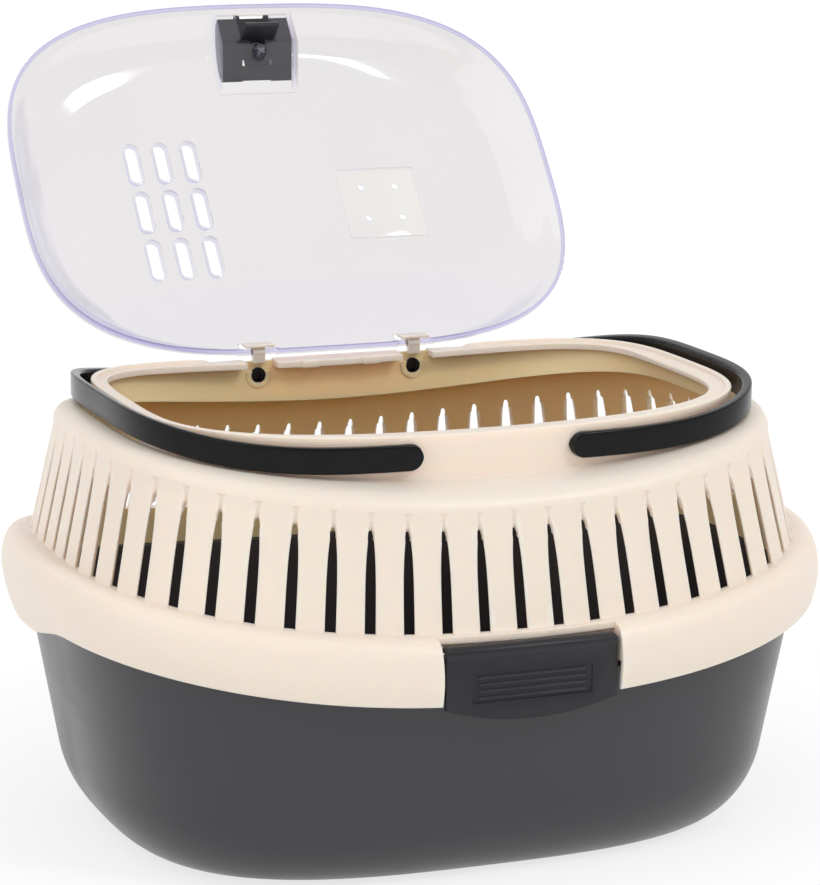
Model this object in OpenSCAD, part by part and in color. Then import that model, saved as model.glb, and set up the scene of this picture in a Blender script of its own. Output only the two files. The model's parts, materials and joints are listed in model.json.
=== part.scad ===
// Small pet keeper: a deep tub, a slatted cover with a flange that laps over the tub,
// a clear domed lid hinged at the rear of the cover, two carrying bails and two side latches.
// Millimetres. X runs to the right, the front faces -Y, +Z is up, and the origin is the
// centre of the flat underside of the tub. The lid is drawn open, as it stands at rest.

/* [Plan size] */
// Length of the cover flange along X
flange_len = 400; // [385:1:420]
// Depth of the cover flange along Y
flange_dep = 324.8; // [318:0.2:336]
// Length of the neck that carries the rim
neck_len = 306; // [300:1:312]
// Depth of the neck
neck_dep = 223.6; // [222:0.2:226]

/* [Tub] */
// Height of the tub rim at the middle of the front
tub_h = 108; // [102:1:114]
// Thickness of the tub wall
tub_wall = 2.5; // [2:0.1:3]
// Thickness of the tub floor
tub_floor = 3; // [2:0.1:5]
// Lean of the tub wall, run over rise
tub_lean = 0.174; // [0.15:0.002:0.2]
// Inset of the flat underside from the wall
bottom_round = 18; // [14:1:22]
// Height of the rounded bottom edge
bottom_rise = 31; // [26:1:36]
// Thickness of the lip that the cover sits on
lip_t = 2.5; // [2:0.1:3]
// Rise of the tub rim from the middle of the front to the ends
tub_sheer = 18; // [14:1:20]

/* [Cover flange and slatted wall] */
// Depth of the skirt below the tub rim
skirt_drop = 11.7; // [10.5:0.1:12.5]
// Height of the flange top above the tub rim
band_h = 19; // [18:0.5:20]
// Width of the flange top, from its edge to the slatted wall
shelf_w = 16; // [15:0.5:17]
// Wall thickness of the cover
cover_wall = 2.5; // [2.2:0.1:2.8]
// Height of the slatted wall
wall_h = 51.5; // [48:0.5:54]
// Lean of the slatted wall, run over rise
wall_lean = 0.225; // [0.2:0.005:0.24]
// Height of the rounded shoulder
shoulder_h = 13.8; // [12.5:0.1:15]
// Drop of the hand grip at each end, below the flange's lower edge
grip_drop = 7.2; // [5:0.2:9]
// Half length of a hand grip
grip_half = 54; // [45:1:60]
// Length over which a hand grip comes down
grip_run = 46; // [30:1:46]
// Rise of the flange from the middle of the front to the ends
flange_sheer = 22.8; // [21:0.2:24]
// Rise of the shoulder from the middle of the front to the ends
shoulder_sheer = 27.5; // [26:0.5:29]

/* [Slots] */
// Number of slots round the wall, in fours, so that a slot stands in the middle of each side
slot_count = 60; // [52:4:64]
// Width of a slot at its foot
slot_w = 5.2; // [4:0.1:6]
// Height of a slot
slot_h = 46.5; // [42:0.5:47]
// Width of a slot at its tip
slot_tip_w = 0.8; // [0.6:0.1:1.2]

/* [Neck and rim] */
// Height of the neck
neck_h = 21.9; // [21:0.1:24]
// Wall thickness of the neck
neck_wall = 3.2; // [2.8:0.1:3.4]
// Rise of the rim from the middle of the front to the ends
rim_sheer = 10.2; // [9:0.2:11]
// Length of the mouth inside the ledge
mouth_len = 285.2; // [278:0.2:287]
// Depth of the mouth inside the ledge
mouth_dep = 184; // [182:0.2:186]
// Thickness of the ledge
ledge_t = 2.7; // [2.4:0.1:2.9]
// Height of the rim ridge above the ledge
ridge_h = 1.6; // [1.4:0.1:1.8]

/* [Carrying bails] */
// Distance of the bail pivots from the middle, along X
pivot_x = 43.2; // [40:0.2:50]
// Drop of the bail pivots below the rim
pivot_drop = 8.9; // [8.5:0.1:9.5]
// Height of the bail strap
strap_h = 12.6; // [11.6:0.2:12.8]
// Thickness of the bail strap
strap_t = 4.5; // [4:0.1:5]
// Gap between the neck and the bail at the ends
bail_gap = 4.5; // [4:0.1:6]
// Rise of the bail from its pivots to the ends
bail_rise = 13; // [12.5:0.1:14]
// Radius of the bail studs
stud_r = 4; // [3.5:0.1:4.3]
// Radius of the round boss inside the neck
boss_r = 6.5; // [6:0.1:7]
// Radius of the round pad outside the neck
pad_r = 8.5; // [7.5:0.1:9]

/* [Lid] */
// Inset of the lid edge from the rim
lid_inset = 0.9; // [0.7:0.1:1.2]
// Thickness of the lid
lid_wall = 2; // [1.8:0.1:2.2]
// Height of the lid dome
dome_h = 25.5; // [25:0.5:28]
// Angle that the lid stands open
open_angle = 129.9; // [100:0.1:131]
// Height of the hinge axis above the rim
hinge_rise = 3.5; // [3.4:0.1:3.7]
// Inset of the hinge axis from the lid edge
hinge_inset = 2.5; // [2.4:0.1:2.7]
// Radius of the lid trunnions
trunnion_r = 1.7; // [1.5:0.1:1.8]
// Width of the cut-outs for the hinge clips
clip_gap_w = 18; // [17.6:0.2:20]
// Length of a vent slot in the lid
vent_len = 24; // [18:1:26]
// Width of a vent slot in the lid
vent_w = 7; // [4:0.5:8]

/* [Lid latch] */
// Width of the latch pocket inside
pocket_w = 41; // [40.6:0.2:44]
// Travel of the latch slider
slide_travel = 2.5; // [2.4:0.1:2.6]
// Width of the latch window and of the hook in it
window_w = 20; // [18:0.5:22]
// Radius of the screw post
post_r = 4; // [3.8:0.1:4.2]
// Radius of the screw shank
screw_r = 1.2; // [1:0.1:1.4]
// Wire radius of the latch spring
wire_r = 0.35; // [0.3:0.01:0.4]
// Number of spring turns
spring_turns = 5; // [4:1:6]

/* [Front and rear latches] */
// Width of a latch
latch_w = 85.5; // [80:0.5:90]
// Depth of a latch pin behind the flange's widest line
latch_inset = 7; // [6:0.1:7.4]
// Thickness of a latch plate
latch_t = 3; // [2.6:0.1:3.2]
// Radius of a latch knuckle
knuckle_r = 3.8; // [3.6:0.1:3.9]
// Radius of a latch pin
latch_pin_r = 1.25; // [1:0.05:1.5]
// Height of a latch at its sides, measured from its pin
latch_side_h = 26; // [22:0.1:28]
// Bulge of the lower edge of a latch
latch_bulge = 7; // [4:0.1:8]

/* [Clearances] */
// Gap between faces that pass or sit on each other
fit = 0.3; // [0.25:0.01:0.35]
// Radial running clearance of the bail studs
stud_play = 0.05; // [0.03:0.01:0.08]
// Radial running clearance of pins and trunnions
pin_play = 0.06; // [0.03:0.01:0.08]
// Gap at each side of a latch
latch_gap = 1.8; // [0.6:0.1:2.2]

/* [Hidden] */
$fn = 64;
far = 500;

// Half sizes and levels that several pieces share
flange_a = flange_len / 2;
flange_b = flange_dep / 2;
neck_a = neck_len / 2;
neck_b = neck_dep / 2;
mouth_a = mouth_len / 2;
mouth_b = mouth_dep / 2;
lip_inset = 7.5;
skirt_z = tub_h - skirt_drop;
shelf_z = tub_h + band_h;
wall_z = shelf_z + wall_h;
neck_z = wall_z + shoulder_h;
rim_z = neck_z + neck_h;
ledge_z = rim_z - ridge_h;
under_z = ledge_z - 0.4 - ledge_t;
pivot_z = rim_z - pivot_drop;
bail_in_a = neck_a + bail_gap;
bail_in_b = neck_b + 0.7;
lid_a = neck_a - 0.4 - lid_inset;
lid_b = neck_b - 0.4 - lid_inset;
lid_z = rim_z + fit;
hinge_y = lid_b - hinge_inset;
hinge_z = rim_z + hinge_rise;

// Exponents of the superellipse outlines
n_tub = 2.8;
n_flange = 2.65;
n_wall = 2.9;
n_neck = 3.4;
n_mouth = 3.9;
n_bail = 3.5;
n_lid = 3.2;

// A point of a superellipse outline, at the angle f of its stretched polar form
function rho(n, f) = pow(pow(abs(cos(f)), n) + pow(abs(sin(f)), n), -1 / n);
function outline(a, b, n, f) = [a * cos(f) * rho(n, f), b * sin(f) * rho(n, f)];
function outline_y(a, b, n, x) = b * pow(1 - pow(abs(x / a), n), 1 / n);
function sheer(rise, x) = rise * pow(x / flange_a, 2);

// Share of the hand grip's drop at a point of the flange: full in the middle of an end
function grip(p) =
    let (t = abs(p[0]) < flange_a / 2 ? 0 : max(0, min(1, (grip_half - abs(p[1])) / grip_run)))
    t * t * (3 - 2 * t);
// A ring is [half length, half depth, exponent, height at the middle, rise at the ends, grip drop]
function ring_points(r, angles) = [
    for (f = angles)
        let (p = outline(r[0], r[1], r[2], f), drop = len(r) > 5 ? r[5] * grip(p) : 0)
        [p[0], p[1], r[3] + sheer(r[4], p[0]) - drop]
];
function even_angles(count) = [for (i = [0 : count - 1]) 360 * i / count];

// Joins rings of points into a skin that is closed at both ends by fans
module skin(rings) {
    count = len(rings[0]);
    last = len(rings) - 1;
    points = [for (r = rings) each r, mean(rings[0]), mean(rings[last])];
    sides = [
        for (i = [0 : last - 1], j = [0 : count - 1])
            let (k = (j + 1) % count)
            each [[i * count + j, (i + 1) * count + j, (i + 1) * count + k],
                [i * count + j, (i + 1) * count + k, i * count + k]]
    ];
    first_cap = [for (j = [0 : count - 1]) [j, (j + 1) % count, (last + 1) * count]];
    last_cap = [
        for (j = [0 : count - 1])
            [last * count + (j + 1) % count, last * count + j, (last + 1) * count + 1]
    ];
    polyhedron(points = points, faces = concat(sides, first_cap, last_cap), convexity = 8);
}
function mean(points) = [for (i = [0 : 2]) total([for (p = points) p[i]]) / len(points)];
function total(v, i = 0) = i < len(v) ? v[i] + total(v, i + 1) : 0;

// Cylinder along X between two places, and along Y
module rod_x(r, x0, x1, y, z) {
    translate([x0, y, z]) rotate([0, 90, 0]) cylinder(r = r, h = x1 - x0);
}
module rod_y(r, x, y0, y1, z) {
    translate([x, y1, z]) rotate([90, 0, 0]) cylinder(r = r, h = y1 - y0);
}
// Box given by its two corners
module box(lo, hi) {
    translate(lo) cube(hi - lo);
}
// A profile of [y, z] points drawn out along X, from x0 to x1
module along_x(x0, x1, profile) {
    translate([x0, 0, 0]) rotate([90, 0, 90]) linear_extrude(x1 - x0) polygon(profile);
}

// Tub wall: the half length at a height, and the inset of its rounded bottom edge
function tub_out(z) = -shelf_w + 1 - tub_lean * (tub_h - lip_t - z);
function tub_ring(z, inset, n, rise) =
    [flange_a + tub_out(z) - inset, flange_b + tub_out(z) - inset, n, z, rise];
// The wall leans, so a point that the sheer lifts also moves out
function tub_rim_points(z, inset, angles) = [
    for (f = angles)
        let (p = outline(flange_a + tub_out(z) - inset, flange_b + tub_out(z) - inset, n_tub, f))
        let (lift = sheer(tub_sheer, p[0]))
        let (q = outline(flange_a + tub_out(z + lift) - inset,
            flange_b + tub_out(z + lift) - inset, n_tub, f))
        [q[0], q[1], z + lift]
];

module base_tub() {
    angles = even_angles(72);
    turns = [0, 18, 36, 54, 72, 90];
    rise_in = bottom_rise - tub_floor;
    outer_round = [
        for (t = turns)
            ring_points(tub_ring(bottom_rise * (1 - cos(t)), bottom_round * (1 - sin(t)),
                3 - 0.2 * sin(t), 0), angles)
    ];
    inner_round = [
        for (i = [len(turns) - 1 : -1 : 0])
            let (t = turns[i])
            ring_points(tub_ring(tub_floor + rise_in * (1 - cos(t)),
                tub_wall + bottom_round * (1 - sin(t)), 3 - 0.2 * sin(t), 0), angles)
    ];
    lip = [flange_a - lip_inset, flange_b - lip_inset, n_flange];
    rim_rings = [
        tub_rim_points(tub_h - lip_t, 0, angles),
        ring_points(concat(lip, [tub_h - lip_t, tub_sheer]), angles),
        ring_points(concat(lip, [tub_h, tub_sheer]), angles),
        tub_rim_points(tub_h, tub_wall, angles)
    ];
    color("dimgray") skin(concat(outer_round, rim_rings, inner_round));
}

// Arc length along the foot of the slatted wall, as pairs of length and angle
foot_a = flange_a - shelf_w;
foot_b = flange_b - shelf_w;
foot_points = [for (f = [0 : 360]) outline(foot_a, foot_b, n_wall, f)];
function run(i, s = 0) =
    i > 360 ? [] : concat([[s, i]], run(i + 1,
        i < 360 ? s + norm(foot_points[i + 1] - foot_points[i]) : s));
foot_run = run(0);
foot_len = foot_run[360][0];
pitch = foot_len / slot_count;

// Column angles: two for each slot, half a slot width to each side of its middle
function column_angles(w) = [
    for (i = [0 : slot_count - 1], side = [-1, 1])
        let (s = 0.75 * foot_len + i * pitch + side * w / 2)
        lookup(s >= foot_len ? s - foot_len : s, foot_run)
];
// Slot width at a share of its height: parallel below, drawn in to the tip above
function slot_width(t) = slot_tip_w + (slot_w - slot_tip_w) * pow(1 - pow(t, 4.5), 0.85);

// Rings of the cover
function wall_ring(z, thick) = [
    foot_a - wall_lean * (z - shelf_z) - thick, foot_b - wall_lean * (z - shelf_z) - thick, n_wall, z,
    flange_sheer + (shoulder_sheer - flange_sheer) * min(1, (z - shelf_z) / slot_h)
];
function shoulder_ring(t, thick) =
    let (top_a = foot_a - wall_lean * wall_h)
    let (top_b = foot_b - wall_lean * wall_h)
    [neck_a + (top_a - neck_a) * pow(cos(t), 0.8) - thick,
        neck_b + (top_b - neck_b) * pow(cos(t), 0.8) - thick, n_wall + 0.1 * sin(t),
        wall_z + shoulder_h * pow(sin(t), 0.8) - thick * (1 - pow(cos(t), 0.8)), shoulder_sheer];
slot_steps = [0, 0.48, 0.72, 0.89, 1];
function flange_ring(inset, z, drop = 0) = [
    flange_a - inset, flange_b - inset, n_flange, z, flange_sheer, grip_drop * drop
];
function neck_ring(inset, z, rise) = [neck_a - inset, neck_b - inset, n_neck, z, rise];

outer_flange = [
    flange_ring(2, skirt_z, 1), flange_ring(0.4, skirt_z + 8, 0.7), flange_ring(0, skirt_z + 14, 0.3),
    flange_ring(1.3, shelf_z - 9), flange_ring(4, shelf_z - 3), flange_ring(8.5, shelf_z - 0.4)
];
outer_slots = [for (t = slot_steps) wall_ring(shelf_z + slot_h * t, 0)];
outer_top = [
    wall_ring(wall_z, 0), shoulder_ring(30, 0), shoulder_ring(60, 0), shoulder_ring(90, 0),
    neck_ring(0.4, rim_z - 1, rim_sheer), neck_ring(1.2, rim_z, rim_sheer),
    neck_ring(neck_wall - 0.4, rim_z, rim_sheer), neck_ring(neck_wall, ledge_z, rim_sheer),
    [mouth_a, mouth_b, n_mouth, ledge_z - 0.4, rim_sheer]
];
rib_out = wall_lean * (band_h - fit);
inner_flange = [
    flange_ring(2 + cover_wall, skirt_z, 1), flange_ring(cover_wall, skirt_z + 14, 0.3),
    flange_ring(1.3 + cover_wall, shelf_z - 9.5), flange_ring(7.6, shelf_z - 3.1),
    [foot_a + 0.7, foot_b + 0.7, n_wall, shelf_z - 2.8, flange_sheer],
    [foot_a + rib_out, foot_b + rib_out, n_wall, tub_h + fit, tub_sheer],
    [foot_a + rib_out - cover_wall, foot_b + rib_out - cover_wall, n_wall, tub_h + fit, tub_sheer]
];
inner_slots = [for (t = slot_steps) wall_ring(shelf_z + slot_h * t, cover_wall)];
inner_top = [
    wall_ring(wall_z - 0.6, cover_wall), shoulder_ring(30, cover_wall), shoulder_ring(60, cover_wall),
    [neck_a - neck_wall, neck_b - neck_wall, 3, neck_z - cover_wall, shoulder_sheer],
    neck_ring(neck_wall, under_z, rim_sheer),
    [mouth_a, mouth_b, n_mouth, under_z, rim_sheer]
];

module cover_shell() {
    count = 2 * slot_count;
    out = concat(outer_flange, outer_slots, outer_top);
    inn = concat(inner_flange, inner_slots, inner_top);
    widths = [for (t = slot_steps) slot_width(t)];
    out_w = concat([for (r = outer_flange) slot_w], widths, [for (r = outer_top) slot_w]);
    inn_w = concat([for (r = inner_flange) slot_w], widths, [for (r = inner_top) slot_w]);
    out_rings = [for (i = [0 : len(out) - 1]) ring_points(out[i], column_angles(out_w[i]))];
    inn_rings = [for (i = [len(inn) - 1 : -1 : 0]) ring_points(inn[i], column_angles(inn_w[i]))];
    rings = concat(out_rings, inn_rings);
    loops = len(rings);
    steps = len(slot_steps) - 1;
    // Index of the outer and of the inner ring at a slot step
    o = len(outer_flange);
    n = len(out) + len(inner_top) + steps;
    skinned = [
        for (i = [0 : loops - 1], j = [0 : count - 1])
            let (in_slot = j % 2 == 0 && ((i >= o && i < o + steps) || (i >= n - steps && i < n)))
            let (k = (j + 1) % count, m = (i + 1) % loops)
            if (!in_slot) each quad(i * count + j, m * count + j, m * count + k, i * count + k)
    ];
    slot_sides = [
        for (s = [0 : steps - 1], j = [0 : 2 : count - 2])
            let (a = (o + s) * count + j, b = a + count, c = (n - s - 1) * count + j, d = c + count)
            each concat(quad(a, b, c, d), quad(b + 1, a + 1, d + 1, c + 1))
    ];
    slot_ends = [
        for (j = [0 : 2 : count - 2])
            let (a = o * count + j, b = n * count + j)
            let (c = (o + steps) * count + j, d = (n - steps) * count + j)
            each concat(quad(a + 1, a, b, b + 1), quad(c, c + 1, d + 1, d))
    ];
    polyhedron(points = [for (r = rings) each r], faces = concat(skinned, slot_sides, slot_ends),
        convexity = 10);
}
function quad(a, b, c, d) = [[a, b, c], [a, c, d]];

// Bail pivots in the neck
bail_y = outline_y(bail_in_a, bail_in_b, n_bail, pivot_x);
pad_y = outline_y(bail_in_a, bail_in_b, n_bail, pivot_x + pad_r) - fit;
boss_y = neck_b - neck_wall - 1.4;

// Latch pins at the front and rear
latch_pin_y = flange_b - latch_inset;
latch_pin_z = shelf_z - 5.8;
latch_half = latch_w / 2;
notch_half = latch_half + latch_gap;
cheek_t = 3;
catch = 2.4;
shelf_cut_y = latch_pin_y - knuckle_r - 0.8;

// Seats of the hinge clips in the ledge
seat_half = 8.5;
clip_y0 = hinge_y - 2.6;
clip_y1 = neck_b - neck_wall - fit;

module cheeks() {
    for (side = [-1, 1])
        translate([side * (notch_half + cheek_t / 2), 0, 0])
            box([-cheek_t / 2, -latch_pin_y - 2, tub_h + 3], [cheek_t / 2, -shelf_cut_y + 4, shelf_z - 1]);
}
module latch_notch() {
    box([-notch_half, -far, skirt_z - 5], [notch_half, -shelf_cut_y, shelf_z + 10]);
}

module top_cover() {
    color("antiquewhite")
    difference() {
        union() {
            cover_shell();
            for (turn = [0, 180]) rotate([0, 0, turn]) {
                cheeks();
                for (side = [-1, 1]) {
                    rod_y(pad_r, side * pivot_x, -pad_y, -neck_b + 2, pivot_z);
                    rod_y(boss_r, side * pivot_x, -neck_b + 2, -boss_y, pivot_z);
                }
            }
        }
        for (turn = [0, 180]) rotate([0, 0, turn]) {
            latch_notch();
            rod_x(latch_pin_r + pin_play, -notch_half - cheek_t, notch_half + cheek_t,
                -latch_pin_y, latch_pin_z);
        }
        for (side = [-1, 1]) {
            rod_y(stud_r + stud_play, side * pivot_x, -far, far, pivot_z);
            box([side * pivot_x - seat_half, mouth_b - 2, under_z - 2],
                [side * pivot_x + seat_half, neck_b - neck_wall, rim_z + 5]);
            box([side * pivot_x - seat_half, mouth_b - 2, ledge_z],
                [side * pivot_x + seat_half, neck_b + 2, rim_z + 5]);
        }
        // The ridge is low along the rear, where the edge of the lid dips as it opens
        box([-2 * pivot_x, hinge_y - 2, ledge_z + 0.9], [2 * pivot_x, neck_b + 2, rim_z + 5]);
    }
}

// A clip that holds a lid trunnion: a post on the boss, an eye and a thumb cap
module hinge_clip(x) {
    color("antiquewhite")
    difference() {
        union() {
            box([x - 3.25, clip_y0, pivot_z + boss_r + 0.1], [x + 3.25, clip_y1, hinge_z]);
            rod_x(2.9, x - 3.25, x + 3.25, hinge_y, hinge_z);
            box([x - 2.5, clip_y0, hinge_z], [x + 2.5, hinge_y, hinge_z + 3.2]);
            box([x - 7.8, hinge_y - 4.5, hinge_z + 2.7], [x + 7.8, hinge_y + 3.4, hinge_z + 4.3]);
        }
        rod_x(trunnion_r + pin_play, x - 10, x + 10, hinge_y, hinge_z);
    }
}

// Bails: a strap along the neck outline, with round ends and studs through the neck
bail_stations = 44;
strap_section = [
    [0, -0.41], [0.27, -0.5], [0.73, -0.5], [1, -0.41], [1, 0.41], [0.73, 0.5], [0.27, 0.5], [0, 0.41]
];
// The strap lies level near its pivots and climbs to the end of the neck
function bail_lift(x) = bail_rise * pow(max(0, x - pivot_x) / (bail_in_a + strap_t - pivot_x), 3);
module handle_right() {
    start = atan2(outline_y(bail_in_a, bail_in_b, n_bail, pivot_x) / bail_in_b, pivot_x / bail_in_a);
    rings = [
        for (i = [0 : bail_stations])
            let (f = start - 2 * start * i / bail_stations)
            [
                for (s = strap_section)
                    let (p = outline(bail_in_a + strap_t * s[0], bail_in_b + strap_t * s[0], n_bail, f))
                    [p[0], p[1], pivot_z + bail_lift(p[0]) + strap_h * s[1]]
            ]
    ];
    color("black")
    union() {
        skin(rings);
        for (turn = [0, 1]) mirror([0, turn, 0]) {
            rod_y(strap_h / 2 + 0.2, pivot_x, -bail_y - strap_t - 0.15, -bail_y + 0.1, pivot_z);
            rod_y(stud_r, pivot_x, -bail_y - 1, -boss_y - fit, pivot_z);
        }
    }
}
module handle_left() {
    mirror([1, 0, 0]) handle_right();
}

// Lid, drawn shut and then turned open about its hinge
module opened() {
    translate([0, hinge_y, hinge_z]) rotate([-open_angle, 0, 0]) translate([0, -hinge_y, -hinge_z])
        children();
}
// Rings of the dome as [inset from the edge, height], outside and inside
dome_steps = [
    [85, dome_h - 0.4], [60, dome_h - 1], [45, dome_h - 1.7], [30, dome_h - 3], [22, dome_h - 5.5],
    [17, dome_h - 7.9], [12, dome_h - 11.5], [8, dome_h - 15], [4, dome_h - 19.5], [0, 3], [0, 0]
];
function dome_inside(i) =
    let (steep = [0, 0, 0.1, 0.2, 0.45, 0.6, 0.7, 0.75, 0.6, 1, 1][i])
    let (down = [1, 1, 1, 1, 0.95, 0.9, 0.85, 0.8, 0.9, 0.3, 0][i])
    [dome_steps[i][0] + lid_wall * steep, dome_steps[i][1] - lid_wall * down];
// The dome falls away in a long slope towards the hinge
function rear_slope(y) = 3.5 + 0.36 * (lid_b - y);
function dome_points(step, thick, angles) = [
    for (f = angles)
        let (p = outline(lid_a - step[0], lid_b - step[0], n_lid, f))
        [p[0], p[1], lid_z + sheer(rim_sheer, p[0]) + min(step[1], rear_slope(p[1]) - thick)]
];
module dome() {
    angles = even_angles(72);
    last = len(dome_steps) - 1;
    outside = [for (i = [0 : last]) dome_points(dome_steps[i], 0, angles)];
    inside = [for (i = [last : -1 : 0]) dome_points(dome_inside(i), lid_wall, angles)];
    // The rings run from the middle of the top outwards, so their order is turned round
    skin([for (r = concat(outside, inside)) [for (j = [len(r) - 1 : -1 : 0]) r[j]]]);
}

// Latch pocket, in heights above the lid edge
pocket_half = pocket_w / 2;
floor_h = 2.5;
pocket_y0 = -lid_b + 1.8;
pocket_y1 = -lid_b + 3.9;
fold_y = -mouth_b + 6;
slope_run = 20;
slope_rise = 17.5;
post_y = fold_y + 3;
post_top = 12.3;
module pocket_walls() {
    plate = [
        [pocket_y0, floor_h], [fold_y, floor_h], [fold_y + slope_run, floor_h + slope_rise],
        [fold_y + slope_run, floor_h + slope_rise + 2.9], [fold_y - 0.9, floor_h + lid_wall],
        [pocket_y0, floor_h + lid_wall]
    ];
    wall = [
        [pocket_y0, floor_h], [fold_y, floor_h], [fold_y + slope_run, floor_h + slope_rise],
        [fold_y + slope_run, dome_h - 3], [-lid_b + 30, dome_h - 4], [-lid_b + 22, dome_h - 6.5],
        [-lid_b + 12, dome_h - 12.5], [-lid_b + 8, dome_h - 16], [-lid_b + 4, dome_h - 20.5],
        [pocket_y0, floor_h + lid_wall]
    ];
    along_x(-pocket_half - lid_wall, pocket_half + lid_wall, plate);
    along_x(-pocket_half - lid_wall, -pocket_half, wall);
    along_x(pocket_half, pocket_half + lid_wall, wall);
    translate([0, post_y, 1.5]) cylinder(r1 = post_r - 1, r2 = post_r, h = 3);
    translate([0, post_y, 4.4]) cylinder(r = post_r, h = post_top - 4.4);
}
module pocket_space() {
    top = dome_h + 15;
    along_x(-pocket_half, pocket_half, [
        [pocket_y1, floor_h + lid_wall], [fold_y - 0.9, floor_h + lid_wall],
        [fold_y + slope_run - 1.3, floor_h + slope_rise + 1.6], [fold_y + slope_run - 1.3, top],
        [pocket_y1, top]
    ]);
}
hook_y = -mouth_b + 0.4;
hook_t = 2;
window_y1 = hook_y + hook_t + slide_travel + fit;

// A vent slot with round ends, long along Y
module vent(x, y) {
    r = vent_w / 2;
    ends = [for (i = [0 : 15]) let (f = 22.5 * i + 11.25)
        [r * cos(f), r * sin(f) + sign(sin(f)) * (vent_len / 2 - r)]];
    translate([x, y, lid_z]) linear_extrude(2 * dome_h) polygon(ends);
}

module lid_shell() {
    color("lavender", 0.4)
    opened() {
        difference() {
            dome();
            translate([0, 0, lid_z]) pocket_space();
            // Room for the clips, where the trunnions are bare
            for (side = [-1, 1])
                box([side * pivot_x - clip_gap_w / 2, hinge_y - 7, lid_z - 5],
                    [side * pivot_x + clip_gap_w / 2, lid_b + 5, lid_z + 40]);
            for (i = [-1 : 1], j = [-1 : 1]) vent(-64 + 16 * i, 7 + 30.5 * j);
            // A square panel, sunk a little, with four small air holes
            translate([56, 7, lid_z + dome_h + 19.3]) cube([48, 47, 40], center = true);
            for (x = [46, 66], y = [-3, 17])
                translate([x, y, lid_z]) cylinder(r = 2.4, h = 2 * dome_h);
        }
        difference() {
            translate([0, 0, lid_z]) pocket_walls();
            box([-window_w / 2, pocket_y1 - 1.2, lid_z], [window_w / 2, window_y1, lid_z + 6]);
            translate([0, post_y, lid_z]) cylinder(r = screw_r + 0.1, h = post_top + 5);
            translate([0, post_y, lid_z]) cylinder(r = 2.4, h = 4.1);
        }
        for (side = [-1, 1])
            rod_x(trunnion_r, side * pivot_x - clip_gap_w / 2 - 2.5,
                side * pivot_x + clip_gap_w / 2 + 2.5, hinge_y, hinge_z);
    }
}

// Slider of the lid latch: a wedge in the pocket, with a hook through the window
slide_y0 = -lid_b + 6.5;
slide_half = pocket_half - 0.4;
slide_h0 = floor_h + lid_wall + fit;
deck_h = post_top - fit;
retainer_half = 7;
retainer_ahead = 5.6;
retainer_behind = 4.2;
spring_h = 9.2;
spring_r = 2.2;
spring_y0 = hook_y - 5.4;
module lid_latch_slider() {
    back_y = fold_y - 0.9 - slide_travel - 0.25;
    slope = (slope_rise - 0.4) / (slope_run - 0.4);
    body = [
        [slide_y0, slide_h0], [back_y, slide_h0], [back_y + 15 / slope, slide_h0 + 15],
        [back_y + 15 / slope - 1, slide_h0 + 16.6], [back_y + 9, slide_h0 + 16.8],
        [back_y + 1.5, slide_h0 + 14.6], [back_y - 4.5, slide_h0 + 11.4],
        [back_y - 10.5, slide_h0 + 7], [slide_y0, slide_h0 + 3]
    ];
    hook = [
        [hook_y, slide_h0 + 1], [hook_y, under_z - lid_z - fit], [hook_y - 2.2, under_z - lid_z - fit],
        [hook_y - 2.2, under_z - lid_z - fit - 0.8], [hook_y, under_z - lid_z - fit - 3.4],
        [hook_y + hook_t, under_z - lid_z - fit - 3.4], [hook_y + hook_t, slide_h0 + 1]
    ];
    color("dimgray")
    opened() translate([0, 0, lid_z]) difference() {
        union() {
            along_x(-slide_half, slide_half, body);
            along_x(-window_w / 2 + 0.5, window_w / 2 - 0.5, hook);
            for (side = [-1, 1]) translate([side * (window_w / 2 - 1.5), 0, 0])
                box([-1.4, slide_y0 - 2.2, slide_h0], [1.4, slide_y0 + 1, slide_h0 + 2.8]);
        }
        // Slot for the post, with the spring bore ahead of it and room for the retainer above
        box([-post_r - fit, post_y - post_r - fit - slide_travel, -5],
            [post_r + fit, post_y + post_r + fit, deck_h + 1]);
        rod_y(spring_r + wire_r + 0.25, 0, spring_y0, post_y, spring_h);
        box([-retainer_half - 1.5, post_y - retainer_ahead - fit - slide_travel - 0.2, deck_h],
            [retainer_half + 1.5, post_y + 12, far]);
    }
}
module lid_latch_retainer() {
    color("dimgray")
    opened() translate([0, 0, lid_z]) difference() {
        box([-retainer_half, post_y - retainer_ahead, post_top],
            [retainer_half, post_y + retainer_behind, post_top + 2]);
        translate([0, post_y, post_top - 1]) cylinder(r = screw_r + 0.05, h = 2.6);
    }
}
module lid_latch_screw() {
    color("silver")
    opened() translate([0, post_y, lid_z]) difference() {
        union() {
            translate([0, 0, 2.3]) cylinder(r = 2.2, h = 1.7);
            translate([0, 0, 3.9]) cylinder(r = screw_r, h = post_top + 1.4 - 3.9);
        }
        box([-1.6, -0.3, 2], [1.6, 0.3, 3]);
        box([-0.3, -1.6, 2], [0.3, 1.6, 3]);
    }
}

// Coil spring between the post and the slider, as one tube along a helix
spring_y1 = post_y - post_r - 0.15 - wire_r;
spring_len = spring_y1 - (spring_y0 + 0.15 + wire_r);
function coil_point(t) = [spring_r * cos(360 * t), spring_y1 - spring_len * t / spring_turns,
    spring_h + spring_r * sin(360 * t)];
turn_steps = 8;
coil_gap = norm(coil_point(1) - coil_point(0)) - 2 * wire_r;
echo(coil_gap = coil_gap);
module lid_latch_spring() {
    steps = turn_steps * spring_turns;
    rings = [
        for (i = [0 : steps])
            let (t = i / turn_steps)
            let (c = coil_point(t))
            let (radial = [cos(360 * t), 0, sin(360 * t)])
            [for (k = [0 : 5]) c + wire_r * (cos(60 * k) * radial + sin(60 * k) * [0, 1, 0])]
    ];
    color("silver") opened() translate([0, 0, lid_z]) skin(rings);
}

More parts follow.
